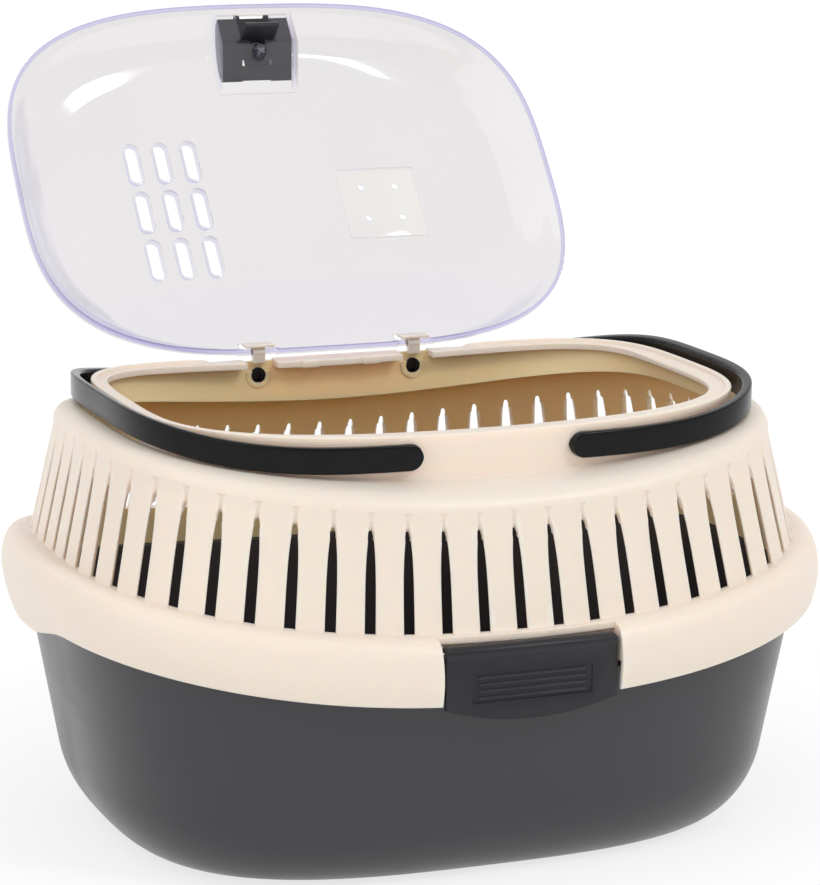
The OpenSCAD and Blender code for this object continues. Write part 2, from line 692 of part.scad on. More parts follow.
// Latch: a plate hung on a knuckle, with a nose that catches under the tub lip
module latch_outline() {
    top = knuckle_r;
    r = (latch_half * latch_half + latch_bulge * latch_bulge) / (2 * latch_bulge);
    intersection() {
        union() {
            translate([-latch_half, -far]) square([latch_w, far + top - 3]);
            translate([-latch_half + 3, 0]) square([latch_w - 6, top]);
            for (side = [-1, 1]) translate([side * (latch_half - 3), top - 3]) circle(r = 3);
        }
        translate([0, r - latch_side_h - latch_bulge]) circle(r = r, $fn = 360);
    }
}
module front_latch() {
    plate_in = knuckle_r - latch_t;
    nose_z = tub_h - lip_t - fit - latch_pin_z;
    nose_y = latch_pin_y - (flange_b - lip_inset) + catch;
    color("dimgray")
    translate([0, -latch_pin_y, latch_pin_z]) difference() {
        intersection() {
            union() {
                rod_x(knuckle_r, -latch_half, latch_half, 0, 0);
                box([-latch_half, -knuckle_r, -far], [latch_half, -plate_in, 0]);
                along_x(-latch_half + 8, latch_half - 8, [
                    [-plate_in - 1, nose_z], [nose_y, nose_z], [nose_y, nose_z - 1.2],
                    [-plate_in, nose_z - 4.5], [-plate_in - 1, nose_z - 4.5]
                ]);
            }
            translate([0, 20, 0]) rotate([90, 0, 0]) linear_extrude(40) latch_outline();
        }
        rod_x(latch_pin_r + pin_play, -far, far, 0, 0);
    }
}
module front_latch_pin() {
    reach = notch_half + cheek_t - 0.2;
    color("silver") rod_x(latch_pin_r, -reach, reach, -latch_pin_y, latch_pin_z);
}

base_tub();
top_cover();
hinge_clip(-pivot_x);  // hinge_clip_left
hinge_clip(pivot_x);  // hinge_clip_right
handle_left();
handle_right();
lid_shell();
lid_latch_slider();
lid_latch_retainer();
lid_latch_spring();
lid_latch_screw();
front_latch();
front_latch_pin();
rotate([0, 0, 180]) front_latch();  // rear_latch
rotate([0, 0, 180]) front_latch_pin();  // rear_latch_pin
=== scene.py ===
from functools import partial
import json
from math import asin, atan2, copysign, cos, dist, pi, radians, sin

import bmesh
import bpy
import numpy as np
from mathutils import Matrix, Vector


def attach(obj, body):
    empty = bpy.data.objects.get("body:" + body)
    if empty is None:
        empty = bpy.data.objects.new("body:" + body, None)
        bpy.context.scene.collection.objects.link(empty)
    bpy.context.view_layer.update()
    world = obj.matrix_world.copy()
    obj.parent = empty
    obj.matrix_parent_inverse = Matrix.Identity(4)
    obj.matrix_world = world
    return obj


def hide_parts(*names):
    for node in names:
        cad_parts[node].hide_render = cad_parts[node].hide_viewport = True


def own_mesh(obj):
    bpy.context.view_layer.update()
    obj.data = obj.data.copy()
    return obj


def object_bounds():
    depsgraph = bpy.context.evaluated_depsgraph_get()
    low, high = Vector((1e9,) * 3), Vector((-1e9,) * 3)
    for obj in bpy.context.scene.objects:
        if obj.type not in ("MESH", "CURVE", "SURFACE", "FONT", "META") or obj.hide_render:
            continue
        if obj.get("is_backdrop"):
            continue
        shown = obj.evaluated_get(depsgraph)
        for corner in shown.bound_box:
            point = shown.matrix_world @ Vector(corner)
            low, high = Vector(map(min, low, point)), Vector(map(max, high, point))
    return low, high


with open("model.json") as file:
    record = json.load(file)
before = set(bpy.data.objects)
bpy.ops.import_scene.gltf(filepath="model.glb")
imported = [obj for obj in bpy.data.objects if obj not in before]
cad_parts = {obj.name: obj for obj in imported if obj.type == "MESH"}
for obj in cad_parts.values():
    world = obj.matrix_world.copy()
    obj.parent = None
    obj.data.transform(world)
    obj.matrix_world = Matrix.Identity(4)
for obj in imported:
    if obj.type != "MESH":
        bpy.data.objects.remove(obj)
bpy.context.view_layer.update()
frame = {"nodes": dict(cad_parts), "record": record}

MM = 0.001

# The camera
# It stands low at the front left of the keeper, and its long lens takes the picture's whole height.
azimuth, elevation, roll = radians(-21.12), radians(11.6), radians(0.23)
distance = 1.68956
lens_in_pixels, picture_height = 3363.67, 885
back = Vector((sin(azimuth) * cos(elevation), -cos(azimuth) * cos(elevation), sin(elevation)))
level = Vector((cos(azimuth), sin(azimuth), 0))
upright = back.cross(level)
across = cos(roll) * level + sin(roll) * upright
upwards = -sin(roll) * level + cos(roll) * upright
aim_height, shift_right, shift_up = 0.12, 0.00017, 0.06582
aim = Vector((0, 0, aim_height)) + shift_right * level + shift_up * upright
camera = bpy.data.objects.new("camera", bpy.data.cameras.new("camera"))
camera.matrix_world = (Matrix.Translation(aim + back * distance)
                       @ Matrix((across, upwards, back)).transposed().to_4x4())
camera.data.sensor_width = 36
camera.data.lens = lens_in_pixels * camera.data.sensor_width / picture_height
camera.data.clip_start, camera.data.clip_end = 0.05, 200
bpy.context.scene.collection.objects.link(camera)
bpy.context.scene.camera = camera
bpy.context.scene.view_settings.view_transform = "Standard"

# The tub
# A deep rounded tub of charcoal polypropylene, injection moulded in one piece with walls of 2.5 mm.
# Its rim turns outwards to a lip that the cover sits on. Everything here is in millimetres.
flange_a, flange_b, flange_n = 200, 162.4, 2.65
tub_h, tub_wall, tub_floor, tub_lean = 108, 2.5, 3, 0.174
bottom_round, bottom_rise, lip_t, lip_inset, tub_sheer, tub_n = 28, 37, 2.5, 7.5, 18, 2.8
grip_drop, grip_half, grip_run = 7.2, 54, 46
turns = 288
angles = np.linspace(0, 2 * pi, turns, endpoint=False)


def feed(node, sockets):
    """Fills or links a node's inputs, which are named or numbered."""
    for key, value in sockets.items():
        if isinstance(value, bpy.types.NodeSocket):
            node.id_data.links.new(value, node.inputs[key])
        else:
            node.inputs[key].default_value = value


def add(tree, kind, sockets=None, **settings):
    """Puts a shader or geometry node into a tree, with its settings and inputs."""
    family = "ShaderNode" if hasattr(bpy.types, "ShaderNode" + kind) else "GeometryNode"
    node = tree.nodes.new(family + kind)
    for name, value in settings.items():
        setattr(node, name, value)
    feed(node, sockets or {})
    return node


def output(tree, kind, sockets=None, **settings):
    """The first output of a new node."""
    return add(tree, kind, sockets, **settings).outputs[0]


def calc(operation, *values):
    """The result of a Math node on values and outputs, in the outputs' own tree."""
    tree = next(value.id_data for value in values if isinstance(value, bpy.types.NodeSocket))
    return output(tree, "Math", dict(enumerate(values)), operation=operation)


plus, minus, times, ratio, greater, lesser = (partial(calc, name) for name in (
    "ADD", "SUBTRACT", "MULTIPLY", "DIVIDE", "MAXIMUM", "MINIMUM"))


def remap(value, source, target=(0, 1), **settings):
    """The result of a Map Range node on an output."""
    return output(value.id_data, "MapRange", {
        "Value": value, "From Min": source[0], "From Max": source[1], "To Min": target[0],
        "To Max": target[1]}, **settings)


def outline_nodes(a, b, n, angle):
    """The x and y of a superellipse outline at an angle of its stretched polar form."""
    c, s = calc("COSINE", angle), calc("SINE", angle)
    powers = [calc("POWER", calc("ABSOLUTE", v), n) for v in (c, s)]
    reach = calc("POWER", plus(*powers), ratio(-1, n))
    return [times(times(half, v), reach) for half, v in ((a, c), (b, s))]


def numbers(*labels):
    """The sockets of these names, all for plain numbers."""
    return dict.fromkeys(labels, "Float")


def new_group(family, name, inputs, outputs):
    """An empty node group with sockets of the given types, its input sockets and its output node."""
    tree = bpy.data.node_groups.new(name, family + "NodeTree")
    for way, sockets in (("INPUT", inputs), ("OUTPUT", outputs)):
        for label, kind in sockets.items():
            tree.interface.new_socket(label, in_out=way, socket_type="NodeSocket" + kind)
    return tree, tree.nodes.new("NodeGroupInput").outputs, tree.nodes.new("NodeGroupOutput")


def new_tree(name, inputs):
    """A geometry tree that takes a geometry and other inputs, and puts out a geometry."""
    geometry = {"Geometry": "Geometry"}
    return new_group("Geometry", name, {**geometry, **inputs, "Plastic": "Material"}, geometry)


def end_tree(geometry, given, result):
    """Realizes what the tree made, gives it its material and puts it out."""
    real = output(geometry.id_data, "RealizeInstances", {0: geometry})
    feed(result, {0: output(geometry.id_data, "SetMaterial", {
        "Geometry": real, "Material": given["Plastic"]})})


ring_values = ("half_length", "half_depth", "exponent", "height", "rise", "flare", "drop")


def shell_tree():
    """Bends a grid of profile points round a superellipse plan whose ends rise."""
    tree, given, result = new_tree("superellipse_shell", numbers(
        "Sheer half length", "Weld distance", "Grip half length", "Grip run"))
    read = {name: add(tree, "InputNamedAttribute", {"Name": name}, data_type="FLOAT").outputs["Attribute"]
            for name in ring_values + ("angle",)}
    half_length, half_depth, exponent, angle = (read[name] for name in (
        "half_length", "half_depth", "exponent", "angle"))
    plan = outline_nodes(half_length, half_depth, exponent, angle)
    share = ratio(plan[0], given["Sheer half length"])
    lift = times(read["rise"], times(share, share))
    # A leaning wall that the sheer lifts also moves out
    out = times(read["flare"], lift)
    x, y = outline_nodes(plus(half_length, out), plus(half_depth, out), exponent, angle)
    # Both ends can hang lower in their middle, as a grip for the hand
    grip = given["Grip half length"]
    near = remap(calc("ABSOLUTE", y), (grip, minus(grip, given["Grip run"])),
                 interpolation_type="SMOOTHSTEP")
    at_end = calc("GREATER_THAN", calc("ABSOLUTE", share), 0.5)
    down = times(read["drop"], times(at_end, near))
    height = minus(plus(read["height"], lift), down)
    spot = output(tree, "CombineXYZ", {"X": x, "Y": y, "Z": height})
    bent = output(tree, "SetPosition", {"Geometry": given["Geometry"], "Position": spot})
    end_tree(output(tree, "MergeByDistance", {"Geometry": bent, "Distance": given["Weld distance"]}),
             given, result)
    return tree


def settle(obj):
    """Turns what the modifiers make into the object's plain mesh."""
    seen = obj.evaluated_get(bpy.context.evaluated_depsgraph_get())
    mesh = bpy.data.meshes.new_from_object(seen)
    obj.modifiers.clear()
    obj.data = mesh
    return obj


def place(name, data):
    """An object for a mesh or a lamp, in the scene."""
    obj = bpy.data.objects.new(name, data)
    bpy.context.scene.collection.objects.link(obj)
    return obj


def run_tree(obj, tree, **inputs):
    """Runs a geometry tree on an object. Input names have _ for a space."""
    step = obj.modifiers.new(tree.name, "NODES")
    step.node_group = tree
    for socket in tree.interface.items_tree:
        key = socket.name.replace(" ", "_")
        if socket.in_out == "INPUT" and key in inputs:
            step[socket.identifier] = inputs[key]
    return settle(obj)


def shell(name, rings, material, closed=True, heights=None):
    """A skin over rings of (half length, half depth, exponent, height, rise at the ends, flare, drop)."""
    table = np.array([tuple(r) + (0,) * (len(ring_values) - len(r)) for r in rings], float)
    table[:, [0, 1, 3, 4, 6]] *= MM
    count = len(table)
    index = np.arange(count * turns).reshape(count, turns)
    rows = np.arange(count if closed else count - 1)
    first, second = index[rows], index[(rows + 1) % count]
    faces = np.stack([first, np.roll(first, -1, 1), np.roll(second, -1, 1), second], -1).reshape(-1, 4)
    flat = np.zeros((count * turns, 3))
    flat[:, 0], flat[:, 1] = np.tile(angles, count), np.repeat(np.arange(count), turns)
    mesh = bpy.data.meshes.new(name)
    mesh.from_pydata(flat.tolist(), [], faces.tolist())
    values = {key: np.repeat(column, turns) for key, column in zip(ring_values, table.T)}
    values["angle"] = np.tile(angles, count)
    if heights is not None:
        values["height"] = np.asarray(heights).ravel() * MM
    for key, column in values.items():
        mesh.attributes.new(key, "FLOAT", "POINT").data.foreach_set("value", column.astype(np.float32))
    obj = run_tree(place(name, mesh), bending, Sheer_half_length=flange_a * MM,
                   Weld_distance=0.00001, Grip_half_length=grip_half * MM, Grip_run=grip_run * MM,
                   Plastic=material)
    for key in values:
        obj.data.attributes.remove(obj.data.attributes[key])
    return obj


def dress(obj, material, limit=32):
    """Gives an object its one material, and shades it smooth but for the edges over the limit."""
    mesh = obj.data
    mesh.materials.clear()
    mesh.materials.append(material)
    mesh.polygons.foreach_set("material_index", np.zeros(len(mesh.polygons), np.int32))
    mesh.shade_smooth()
    mesh.set_sharp_from_angle(angle=radians(limit))
    return obj


def between(start, end, steps):
    """Rings in even steps from start to end, both left out."""
    start, end = np.array(start), np.array(end)
    return [tuple(start + (end - start) * i / steps) for i in range(1, steps)]


def paint(red, green, blue):
    """A colour as it is seen, in the linear values that a shader takes."""
    return tuple((v / 255 / 12.92 if v <= 10 else ((v / 255 + 0.055) / 1.055) ** 2.4)
                 for v in (red, green, blue)) + (1,)


def moulded_grain():
    """The fine grain of a moulded face, with soft flow marks and a few faint scuffs."""
    tree, given, result = new_group("Shader", "moulded_grain", numbers("Grain scale", "Flow scale"),
                                    numbers("Height", "Flow", "Scuffs"))
    where = add(tree, "TexCoord").outputs["Object"]
    fine = output(tree, "TexNoise", {"Vector": where, "Scale": given["Grain scale"], "Detail": 3,
                                     "Roughness": 0.6})
    flow = output(tree, "TexNoise", {"Vector": where, "Scale": given["Flow scale"], "Detail": 2,
                                     "Distortion": 0.6})
    drawn = output(tree, "Mapping", {"Vector": where, "Rotation": (0.3, 0.5, 0.2), "Scale": (30, 900, 260)})
    scuffs = output(tree, "TexNoise", {"Vector": drawn, "Scale": 1, "Detail": 4})
    feed(result, {"Height": fine, "Flow": flow, "Scuffs": remap(scuffs, (0.62, 0.8))})
    return tree


def edge_wear():
    """Where edges are rubbed: their pointed parts, broken up by noise."""
    tree, given, result = new_group("Shader", "edge_wear", numbers("Reach", "Patch scale"), numbers("Worn"))
    sharp = remap(add(tree, "NewGeometry").outputs["Pointiness"], (0.51, minus(0.62, given["Reach"])))
    where = add(tree, "TexCoord").outputs["Object"]
    patches = output(tree, "TexNoise", {"Vector": where, "Scale": given["Patch scale"], "Detail": 4})
    feed(result, {"Worn": times(sharp, patches)})
    return tree


def blend_colour(share, one, other):
    """A colour between two, by a share that is an output."""
    return add(share.id_data, "Mix", {0: share, 6: one, 7: other}, data_type="RGBA").outputs[2]


def new_material(name, values):
    """A material, its tree and its shader, with some of the shader's sockets filled."""
    material = bpy.data.materials.new(name)
    material.use_nodes = True
    shader = material.node_tree.nodes["Principled BSDF"]
    feed(shader, values)
    return material, material.node_tree, shader


def grain(tree, fine, flow):
    """The outputs of the grain group: its height, flow marks and scuffs."""
    return add(tree, "Group", {"Grain scale": fine, "Flow scale": flow}, node_tree=grain_group).outputs


def finish(shader, colour, roughness, height, strength, depth):
    """Gives a shader its colour and roughness, and bumps its face by a height."""
    bump = output(shader.id_data, "Bump", {"Height": height, "Strength": strength, "Distance": depth})
    feed(shader, {"Base Color": colour, "Roughness": roughness, "Normal": bump})


def plastic(name, colour, worn, roughness, fine=1500, depth=0.00004, flow=22, variation=0.06, inside=None,
            gloss=0.5):
    """A moulded plastic: its colour with flow marks and rubbed edges, uneven gloss and fine grain.

    The faces marked as the inner side take the inside colour, where one is given: a painted warm glow that
    stands for light coming through the thin plastic.
    """
    # Light soaks through a thin pale plastic
    soak = {"Subsurface Weight": 0.5, "Subsurface Radius": (1, 0.55, 0.3), "Subsurface Scale": 0.008}
    material, tree, shader = new_material(name, {"Specular IOR Level": gloss, **(soak if inside else {})})
    skin = grain(tree, fine, flow)
    rubbed = add(tree, "Group", {"Reach": 0.04, "Patch scale": 60}, node_tree=wear_group).outputs
    tint = blend_colour(times(skin["Flow"], 0.5), colour,
                        tuple(v * (1 - 2 * variation) for v in colour[:3]) + (1,))
    tint = blend_colour(times(rubbed["Worn"], 0.6), tint, worn)
    # The inside colour is painted glow: warm light through the thin plastic, put into the colour of the
    # marked faces
    if inside:
        painted_glow = add(tree, "Attribute", attribute_name="inner_side").outputs["Fac"]
        tint = blend_colour(painted_glow, tint, inside)
    uneven = remap(skin["Flow"], (0, 1), (roughness - 0.07, roughness + 0.07))
    finish(shader, tint, plus(uneven, times(skin["Scuffs"], 0.12)), skin["Height"], 0.5, depth)
    return material


bending = shell_tree()
grain_group, wear_group = moulded_grain(), edge_wear()


def tub_ring(z, inset, n=tub_n, rise=0, flare=0):
    """A ring of the tub's leaning wall at a height, set in by an inset."""
    out = -15 - tub_lean * (tub_h - lip_t - z)
    return (flange_a + out - inset, flange_b + out - inset, n, z, rise, flare)


def tub_bowl(skin, floor):
    """The rounded bottom of the tub, outside or inside, from its middle up to the plain wall."""
    rise = bottom_rise - floor
    curve = [radians(t) for t in range(0, 91, 6)]
    bowl = [tub_ring(floor + rise * (1 - cos(t)), skin + bottom_round * (1 - sin(t)),
                     3 - 0.2 * sin(t)) for t in curve]
    middle = (0, 0) + bowl[0][2:]
    return [middle] + between(middle, bowl[0], 5) + bowl


def tub_side(skin, top):
    """The leaning wall of the tub between its rounded bottom and its rim."""
    low = tub_ring(bottom_rise, skin, tub_n, 0, tub_lean)
    high = tub_ring(top, skin, tub_n, tub_sheer, tub_lean)
    return between(low, high, 12) + [high]


lip = [(flange_a - lip_inset - i, flange_b - lip_inset - i, flange_n, z, tub_sheer)
       for i, z in ((0.5, tub_h - lip_t), (0, tub_h - lip_t + 0.5), (0, tub_h - 0.5), (0.5, tub_h))]
tub_rings = tub_bowl(0, 0) + tub_side(0, tub_h - lip_t) + lip
tub_rings += [tub_ring(tub_h - i, tub_wall - 0.5 + i, tub_n, tub_sheer, tub_lean) for i in (0, 0.5)]
tub_rings += tub_side(tub_wall, tub_h)[-2::-1] + tub_bowl(tub_wall, tub_floor)[::-1]
charcoal = plastic("charcoal_polypropylene", paint(43, 41, 46), paint(80, 78, 82), 0.3, 1400, 0.00006,
                   gloss=0.62)
tub = dress(shell("tub", tub_rings, charcoal, closed=False), charcoal)
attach(tub, "carrier")
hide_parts("base_tub")

# The cover
# One cream polypropylene moulding: a flange that laps over the tub, a slatted wall that leans in,
# a rounded shoulder, and a neck with a ridge and a ledge round the mouth. It lifts off the tub.
shelf_w, band_h, skirt_drop, cover_wall = 16, 19, 11.7, 2.5
wall_h, wall_lean, shoulder_h, wall_n = 51.5, 0.225, 13.8, 2.9
flange_sheer, shoulder_sheer, rim_sheer = 22.8, 27.5, 10.2
neck_a, neck_b, neck_n, neck_h, neck_wall = 153, 111.8, 3.4, 21.9, 3.2
mouth_a, mouth_b, mouth_n, ledge_t, ridge_h = 142.6, 92, 3.9, 2.7, 1.6
skirt_z, shelf_z = tub_h - skirt_drop, tub_h + band_h
wall_z, foot_a, foot_b = shelf_z + wall_h, flange_a - shelf_w, flange_b - shelf_w
neck_z = wall_z + shoulder_h
rim_z = neck_z + neck_h
ledge_z = rim_z - ridge_h
under_z = ledge_z - 0.4 - ledge_t
slot_count, slot_w, slot_h, slot_tip_w, groove_h, draft = 60, 5.2, 46.5, 1, 8, 1.7
fit = 0.3
cream, cream_worn = paint(246, 225, 210), paint(250, 240, 230)


def flange_ring(inset, z, drop=0):
    return (flange_a - inset, flange_b - inset, flange_n, z, flange_sheer, 0, grip_drop * drop)


def neck_ring(inset, z, rise=rim_sheer, n=neck_n):
    return (neck_a - inset, neck_b - inset, n, z, rise)


def wall_ring(z, thick):
    rise = flange_sheer + (shoulder_sheer - flange_sheer) * min(1, (z - shelf_z) / slot_h)
    lean = wall_lean * (z - shelf_z) + thick
    return (foot_a - lean, foot_b - lean, wall_n, z, rise)


def shoulder_ring(t, thick):
    t = radians(t)
    top_a, top_b = foot_a - wall_lean * wall_h, foot_b - wall_lean * wall_h
    over, up = max(0, cos(t)) ** 0.8, sin(t) ** 0.8
    return (neck_a + (top_a - neck_a) * over - thick, neck_b + (top_b - neck_b) * over - thick,
            wall_n + 0.1 * sin(t), wall_z + shoulder_h * up - thick * (1 - over), shoulder_sheer)


def curve_through(rings, steps):
    """Rings along a smooth curve that passes through the given ones."""
    p = np.array([rings[0]] + list(rings) + [rings[-1]], float)
    out = []
    for a, b, c, d in zip(p, p[1:], p[2:], p[3:]):
        for t in np.arange(steps) / steps:
            out.append(tuple(b + 0.5 * t * (c - a + t * (2 * a - 5 * b + 4 * c - d
                                                         + t * (3 * b - a - 3 * c + d)))))
    return out + [tuple(rings[-1])]


outer = [flange_ring(2.7, skirt_z, 1), flange_ring(2.2, skirt_z + 0.25, 1)]
outer += curve_through([flange_ring(*values) for values in (
    (1.9, skirt_z + 0.8, 0.97), (0.45, skirt_z + 8, 0.7), (0.12, skirt_z + 14, 0.3), (1.3, shelf_z - 9),
    (4, shelf_z - 3), (7.8, shelf_z - 0.5), (10.4, shelf_z))], 5)
outer += [(foot_a + i, foot_b + i, wall_n, z, flange_sheer)
          for i, z in ((1, shelf_z), (0.3, shelf_z + 0.3), (-0.25, shelf_z + 1.1))]
outer += between(wall_ring(shelf_z + 1.1, 0), wall_ring(wall_z, 0), 12)
outer += [shoulder_ring(t, 0) for t in range(0, 89, 8)]
outer += [neck_ring(-0.6, neck_z + 0.4, shoulder_sheer, 3),
          neck_ring(0, neck_z + 1.4, shoulder_sheer - 1, 3.02)]
outer += between(outer[-1], neck_ring(0.35, rim_z - 1.2), 5)
outer += [neck_ring(i, z) for i, z in (
    (0.35, rim_z - 1.2), (0.5, rim_z - 0.5), (0.9, rim_z - 0.1), (1.3, rim_z), (2.5, rim_z),
    (2.9, rim_z - 0.2), (3.1, rim_z - 0.7), (3.25, ledge_z + 0.3), (3.7, ledge_z))]
ledge_edge = (mouth_a + 0.7, mouth_b + 0.7, mouth_n, ledge_z - 0.38, rim_sheer)
outer += between(outer[-1], ledge_edge, 4)
outer += [ledge_edge] + [(mouth_a, mouth_b, mouth_n, z, rim_sheer) for z in (ledge_z - 1, under_z + 0.4)]
rib_a, rib_b = (foot + wall_lean * (band_h - fit) for foot in (foot_a, foot_b))
inner = [flange_ring(1.6 + cover_wall, skirt_z, 1), flange_ring(1.9 + cover_wall, skirt_z + 1, 1),
         flange_ring(cover_wall, skirt_z + 14, 0.3), flange_ring(1.3 + cover_wall, shelf_z - 9.5),
         flange_ring(7.6, shelf_z - 3.1), (foot_a + 0.7, foot_b + 0.7, wall_n, shelf_z - 2.8, flange_sheer)]
inner += [(rib_a - i, rib_b - i, wall_n, tub_h + fit, tub_sheer) for i in (0, cover_wall)]
inner += [wall_ring(shelf_z, cover_wall)]
inner += between(wall_ring(shelf_z, cover_wall), wall_ring(wall_z - 0.6, cover_wall), 12)
inner += [shoulder_ring(t, cover_wall) for t in range(2, 80, 8)]
inner += [neck_ring(neck_wall, neck_z - cover_wall + 0.3, shoulder_sheer, 3),
          neck_ring(neck_wall, neck_z - cover_wall + 2, shoulder_sheer - 1, 3.05)]
inner += between(inner[-1], neck_ring(neck_wall, under_z - 0.8), 5)
inner += [neck_ring(neck_wall, under_z - 0.8), neck_ring(neck_wall + 0.8, under_z),
          (mouth_a + 0.4, mouth_b + 0.4, mouth_n, under_z, rim_sheer)]


def slot_tree():
    """Lays copies of a flat cutter side by side round the foot of the slatted wall, leaning with it."""
    tree, given, result = new_tree("slot_ring", {"Slot count": "Int", **numbers(
        "Foot half length", "Foot half depth", "Exponent", "Wall lean", "Foot height", "Foot rise",
        "Head rise", "Slot height", "Sheer half length")})
    points = output(tree, "MeshLine", {"Count": given["Slot count"], "Offset": (0, 0, 0)})
    copies = output(tree, "InstanceOnPoints", {"Points": points, "Instance": given["Geometry"]})
    real = output(tree, "RealizeInstances", {0: copies})
    size = add(tree, "AttributeDomainSize", {0: given["Geometry"]}, component="MESH")
    index = output(tree, "InputIndex")
    number = calc("FLOOR", ratio(index, size.outputs["Point Count"]))
    steps = 360
    circle = output(tree, "MeshCircle", {"Vertices": steps})
    foot = outline_nodes(given["Foot half length"], given["Foot half depth"], given["Exponent"],
                         times(index, 2 * pi / steps))
    foot = output(tree, "SetPosition", {
        "Geometry": circle, "Position": output(tree, "CombineXYZ", {"X": foot[0], "Y": foot[1]})})
    foot = output(tree, "MeshToCurve", {0: foot})
    length = output(tree, "CurveLength", {0: foot})
    local = add(tree, "SeparateXYZ", {0: output(tree, "InputPosition")}).outputs
    start = times(length, ratio(number, given["Slot count"]))
    along = minus(start, local[0])
    # The first slot straddles the start of the foot's outline
    along = plus(along, times(length, calc("LESS_THAN", along, 0)))
    at = add(tree, "SampleCurve", {"Curves": foot, "Length": along}, mode="LENGTH").outputs
    spot = add(tree, "SeparateXYZ", {0: at["Position"]}).outputs
    along = add(tree, "SeparateXYZ", {0: at["Tangent"]}).outputs
    lean = times(given["Wall lean"], local[2])
    x, y = (times(spot[i], ratio(minus(given[half], lean), given[half])) for i, half in enumerate(
        ("Foot half length", "Foot half depth")))
    share = ratio(x, given["Sheer half length"])
    climb = lesser(1, ratio(local[2], given["Slot height"]))
    gain = minus(given["Head rise"], given["Foot rise"])
    rise = plus(given["Foot rise"], times(gain, climb))
    lift = times(rise, times(share, share))
    done = output(tree, "CombineXYZ", {
        "X": plus(x, times(along[1], local[1])),
        "Y": minus(y, times(along[0], local[1])),
        "Z": plus(plus(given["Foot height"], local[2]), lift)})
    end_tree(output(tree, "SetPosition", {"Geometry": real, "Position": done}), given, result)
    return tree


def round_off(obj, width, angle=30):
    """Rounds an object's edges that turn more than an angle."""
    rounding = obj.modifiers.new("rounded", "BEVEL")
    rounding.width, rounding.segments, rounding.limit_method = width * MM, 2, "ANGLE"
    rounding.angle_limit = radians(angle)
    return settle(obj)


def solid(name, points, faces, round_edges=0):
    """A closed solid from points in millimetres, its sharp edges rounded if asked."""
    mesh = bpy.data.meshes.new(name)
    mesh.from_pydata([tuple(v * MM for v in p) for p in points], [], faces)
    shape = bmesh.new()
    shape.from_mesh(mesh)
    bmesh.ops.recalc_face_normals(shape, faces=shape.faces)
    shape.to_mesh(mesh)
    shape.free()
    obj = place(name, mesh)
    return round_off(obj, round_edges) if round_edges else obj


def loft(name, points, n, round_edges=0):
    """A solid through sections of n points each, closed by its first and last section."""
    last = len(points) // n - 1
    faces = [list(range(n)), list(range(last * n, last * n + n))]
    faces += [[i * n + j, i * n + (j + 1) % n, (i + 1) * n + (j + 1) % n, (i + 1) * n + j]
              for i in range(last) for j in range(n)]
    return solid(name, points, faces, round_edges)


def prism(name, profile, start, end, axis="x", round_edges=0):
    """A profile drawn out along one axis from start to end. The profile has the other two axes."""
    order = {"x": lambda p, t: (t, p[0], p[1]), "y": lambda p, t: (p[0], t, p[1]),
             "z": lambda p, t: (p[0], p[1], t)}[axis]
    return loft(name, [order(p, t) for t in (start, end) for p in profile], len(profile), round_edges)


def rod(name, radius, middle, start, end, axis="x", round_edges=0, sides=64):
    """A round bar along one axis."""
    ring = [(middle[0] + radius * cos(2 * pi * i / sides),
             middle[1] + radius * sin(2 * pi * i / sides)) for i in range(sides)]
    return prism(name, ring, start, end, axis, round_edges)


def block(name, low, high, round_edges=0):
    """A box between two corners."""
    profile = [(low[1], low[2]), (high[1], low[2]), (high[1], high[2]), (low[1], high[2])]
    return prism(name, profile, low[0], high[0], "x", round_edges)


def work(obj, tool, operation="DIFFERENCE"):
    """Cuts a tool from an object, or joins it on, or keeps what both share."""
    step = obj.modifiers.new("work", "BOOLEAN")
    step.operation, step.solver, step.object = operation, "MANIFOLD", tool
    settle(obj)
    bpy.data.objects.remove(tool)
    return obj


join = partial(work, operation="UNION")


def face_table(obj):
    """The normals and the middles of an object's faces, a row for each."""
    table = np.empty((2, 3 * len(obj.data.polygons)))
    obj.data.polygons.foreach_get("normal", table[0])
    obj.data.polygons.foreach_get("center", table[1])
    return table.reshape(2, -1, 3)


def mark_faces(obj, name, values):
    """Gives each face a number that its material reads."""
    obj.data.attributes.new(name, "FLOAT", "FACE").data.foreach_set("value", values.astype(np.float32))


def slot_cutter():
    """One slot as a flat cutter: it widens inwards, has soft edges and fades out in a groove above."""
    points, slot_power, slot_soft, groove_d, cut_d, fade_h = [], 4.5, 0.85, 1.6, 7.5, 5
    lifts = np.append(np.linspace(0.1, slot_h - 1, 22), np.linspace(slot_h - 0.5, slot_h + groove_h, 8))
    for z in lifts:
        taper = (1 - min(z / slot_h, 1) ** slot_power) ** slot_soft
        half = (slot_tip_w + (slot_w - slot_tip_w) * taper) / 2
        fade = min(1, max(0, (slot_h - z) / fade_h))
        out = half + draft * fade
        depth = groove_d + (cut_d - groove_d) * fade
        if z >= slot_h:
            depth = groove_d * (1 - (z - slot_h) / groove_h) + 0.02
        soft = 0.35 + 0.55 * (1 - fade)
        low, middle, top = (2.8, 0.8, 0.35) if fade == 1 else (0.95 * depth, 0.9 * depth, 0.8 * depth)
        edge = [(out, -depth), (out, -low), (half, -middle), (half, -top), (half + soft, 0),
                (half + soft + 1.4, 1.4)]
        points += [(x, y, z) for x, y in edge] + [(-x, y, z) for x, y in edge[::-1]]
    return loft("slots", points, 2 * len(edge))


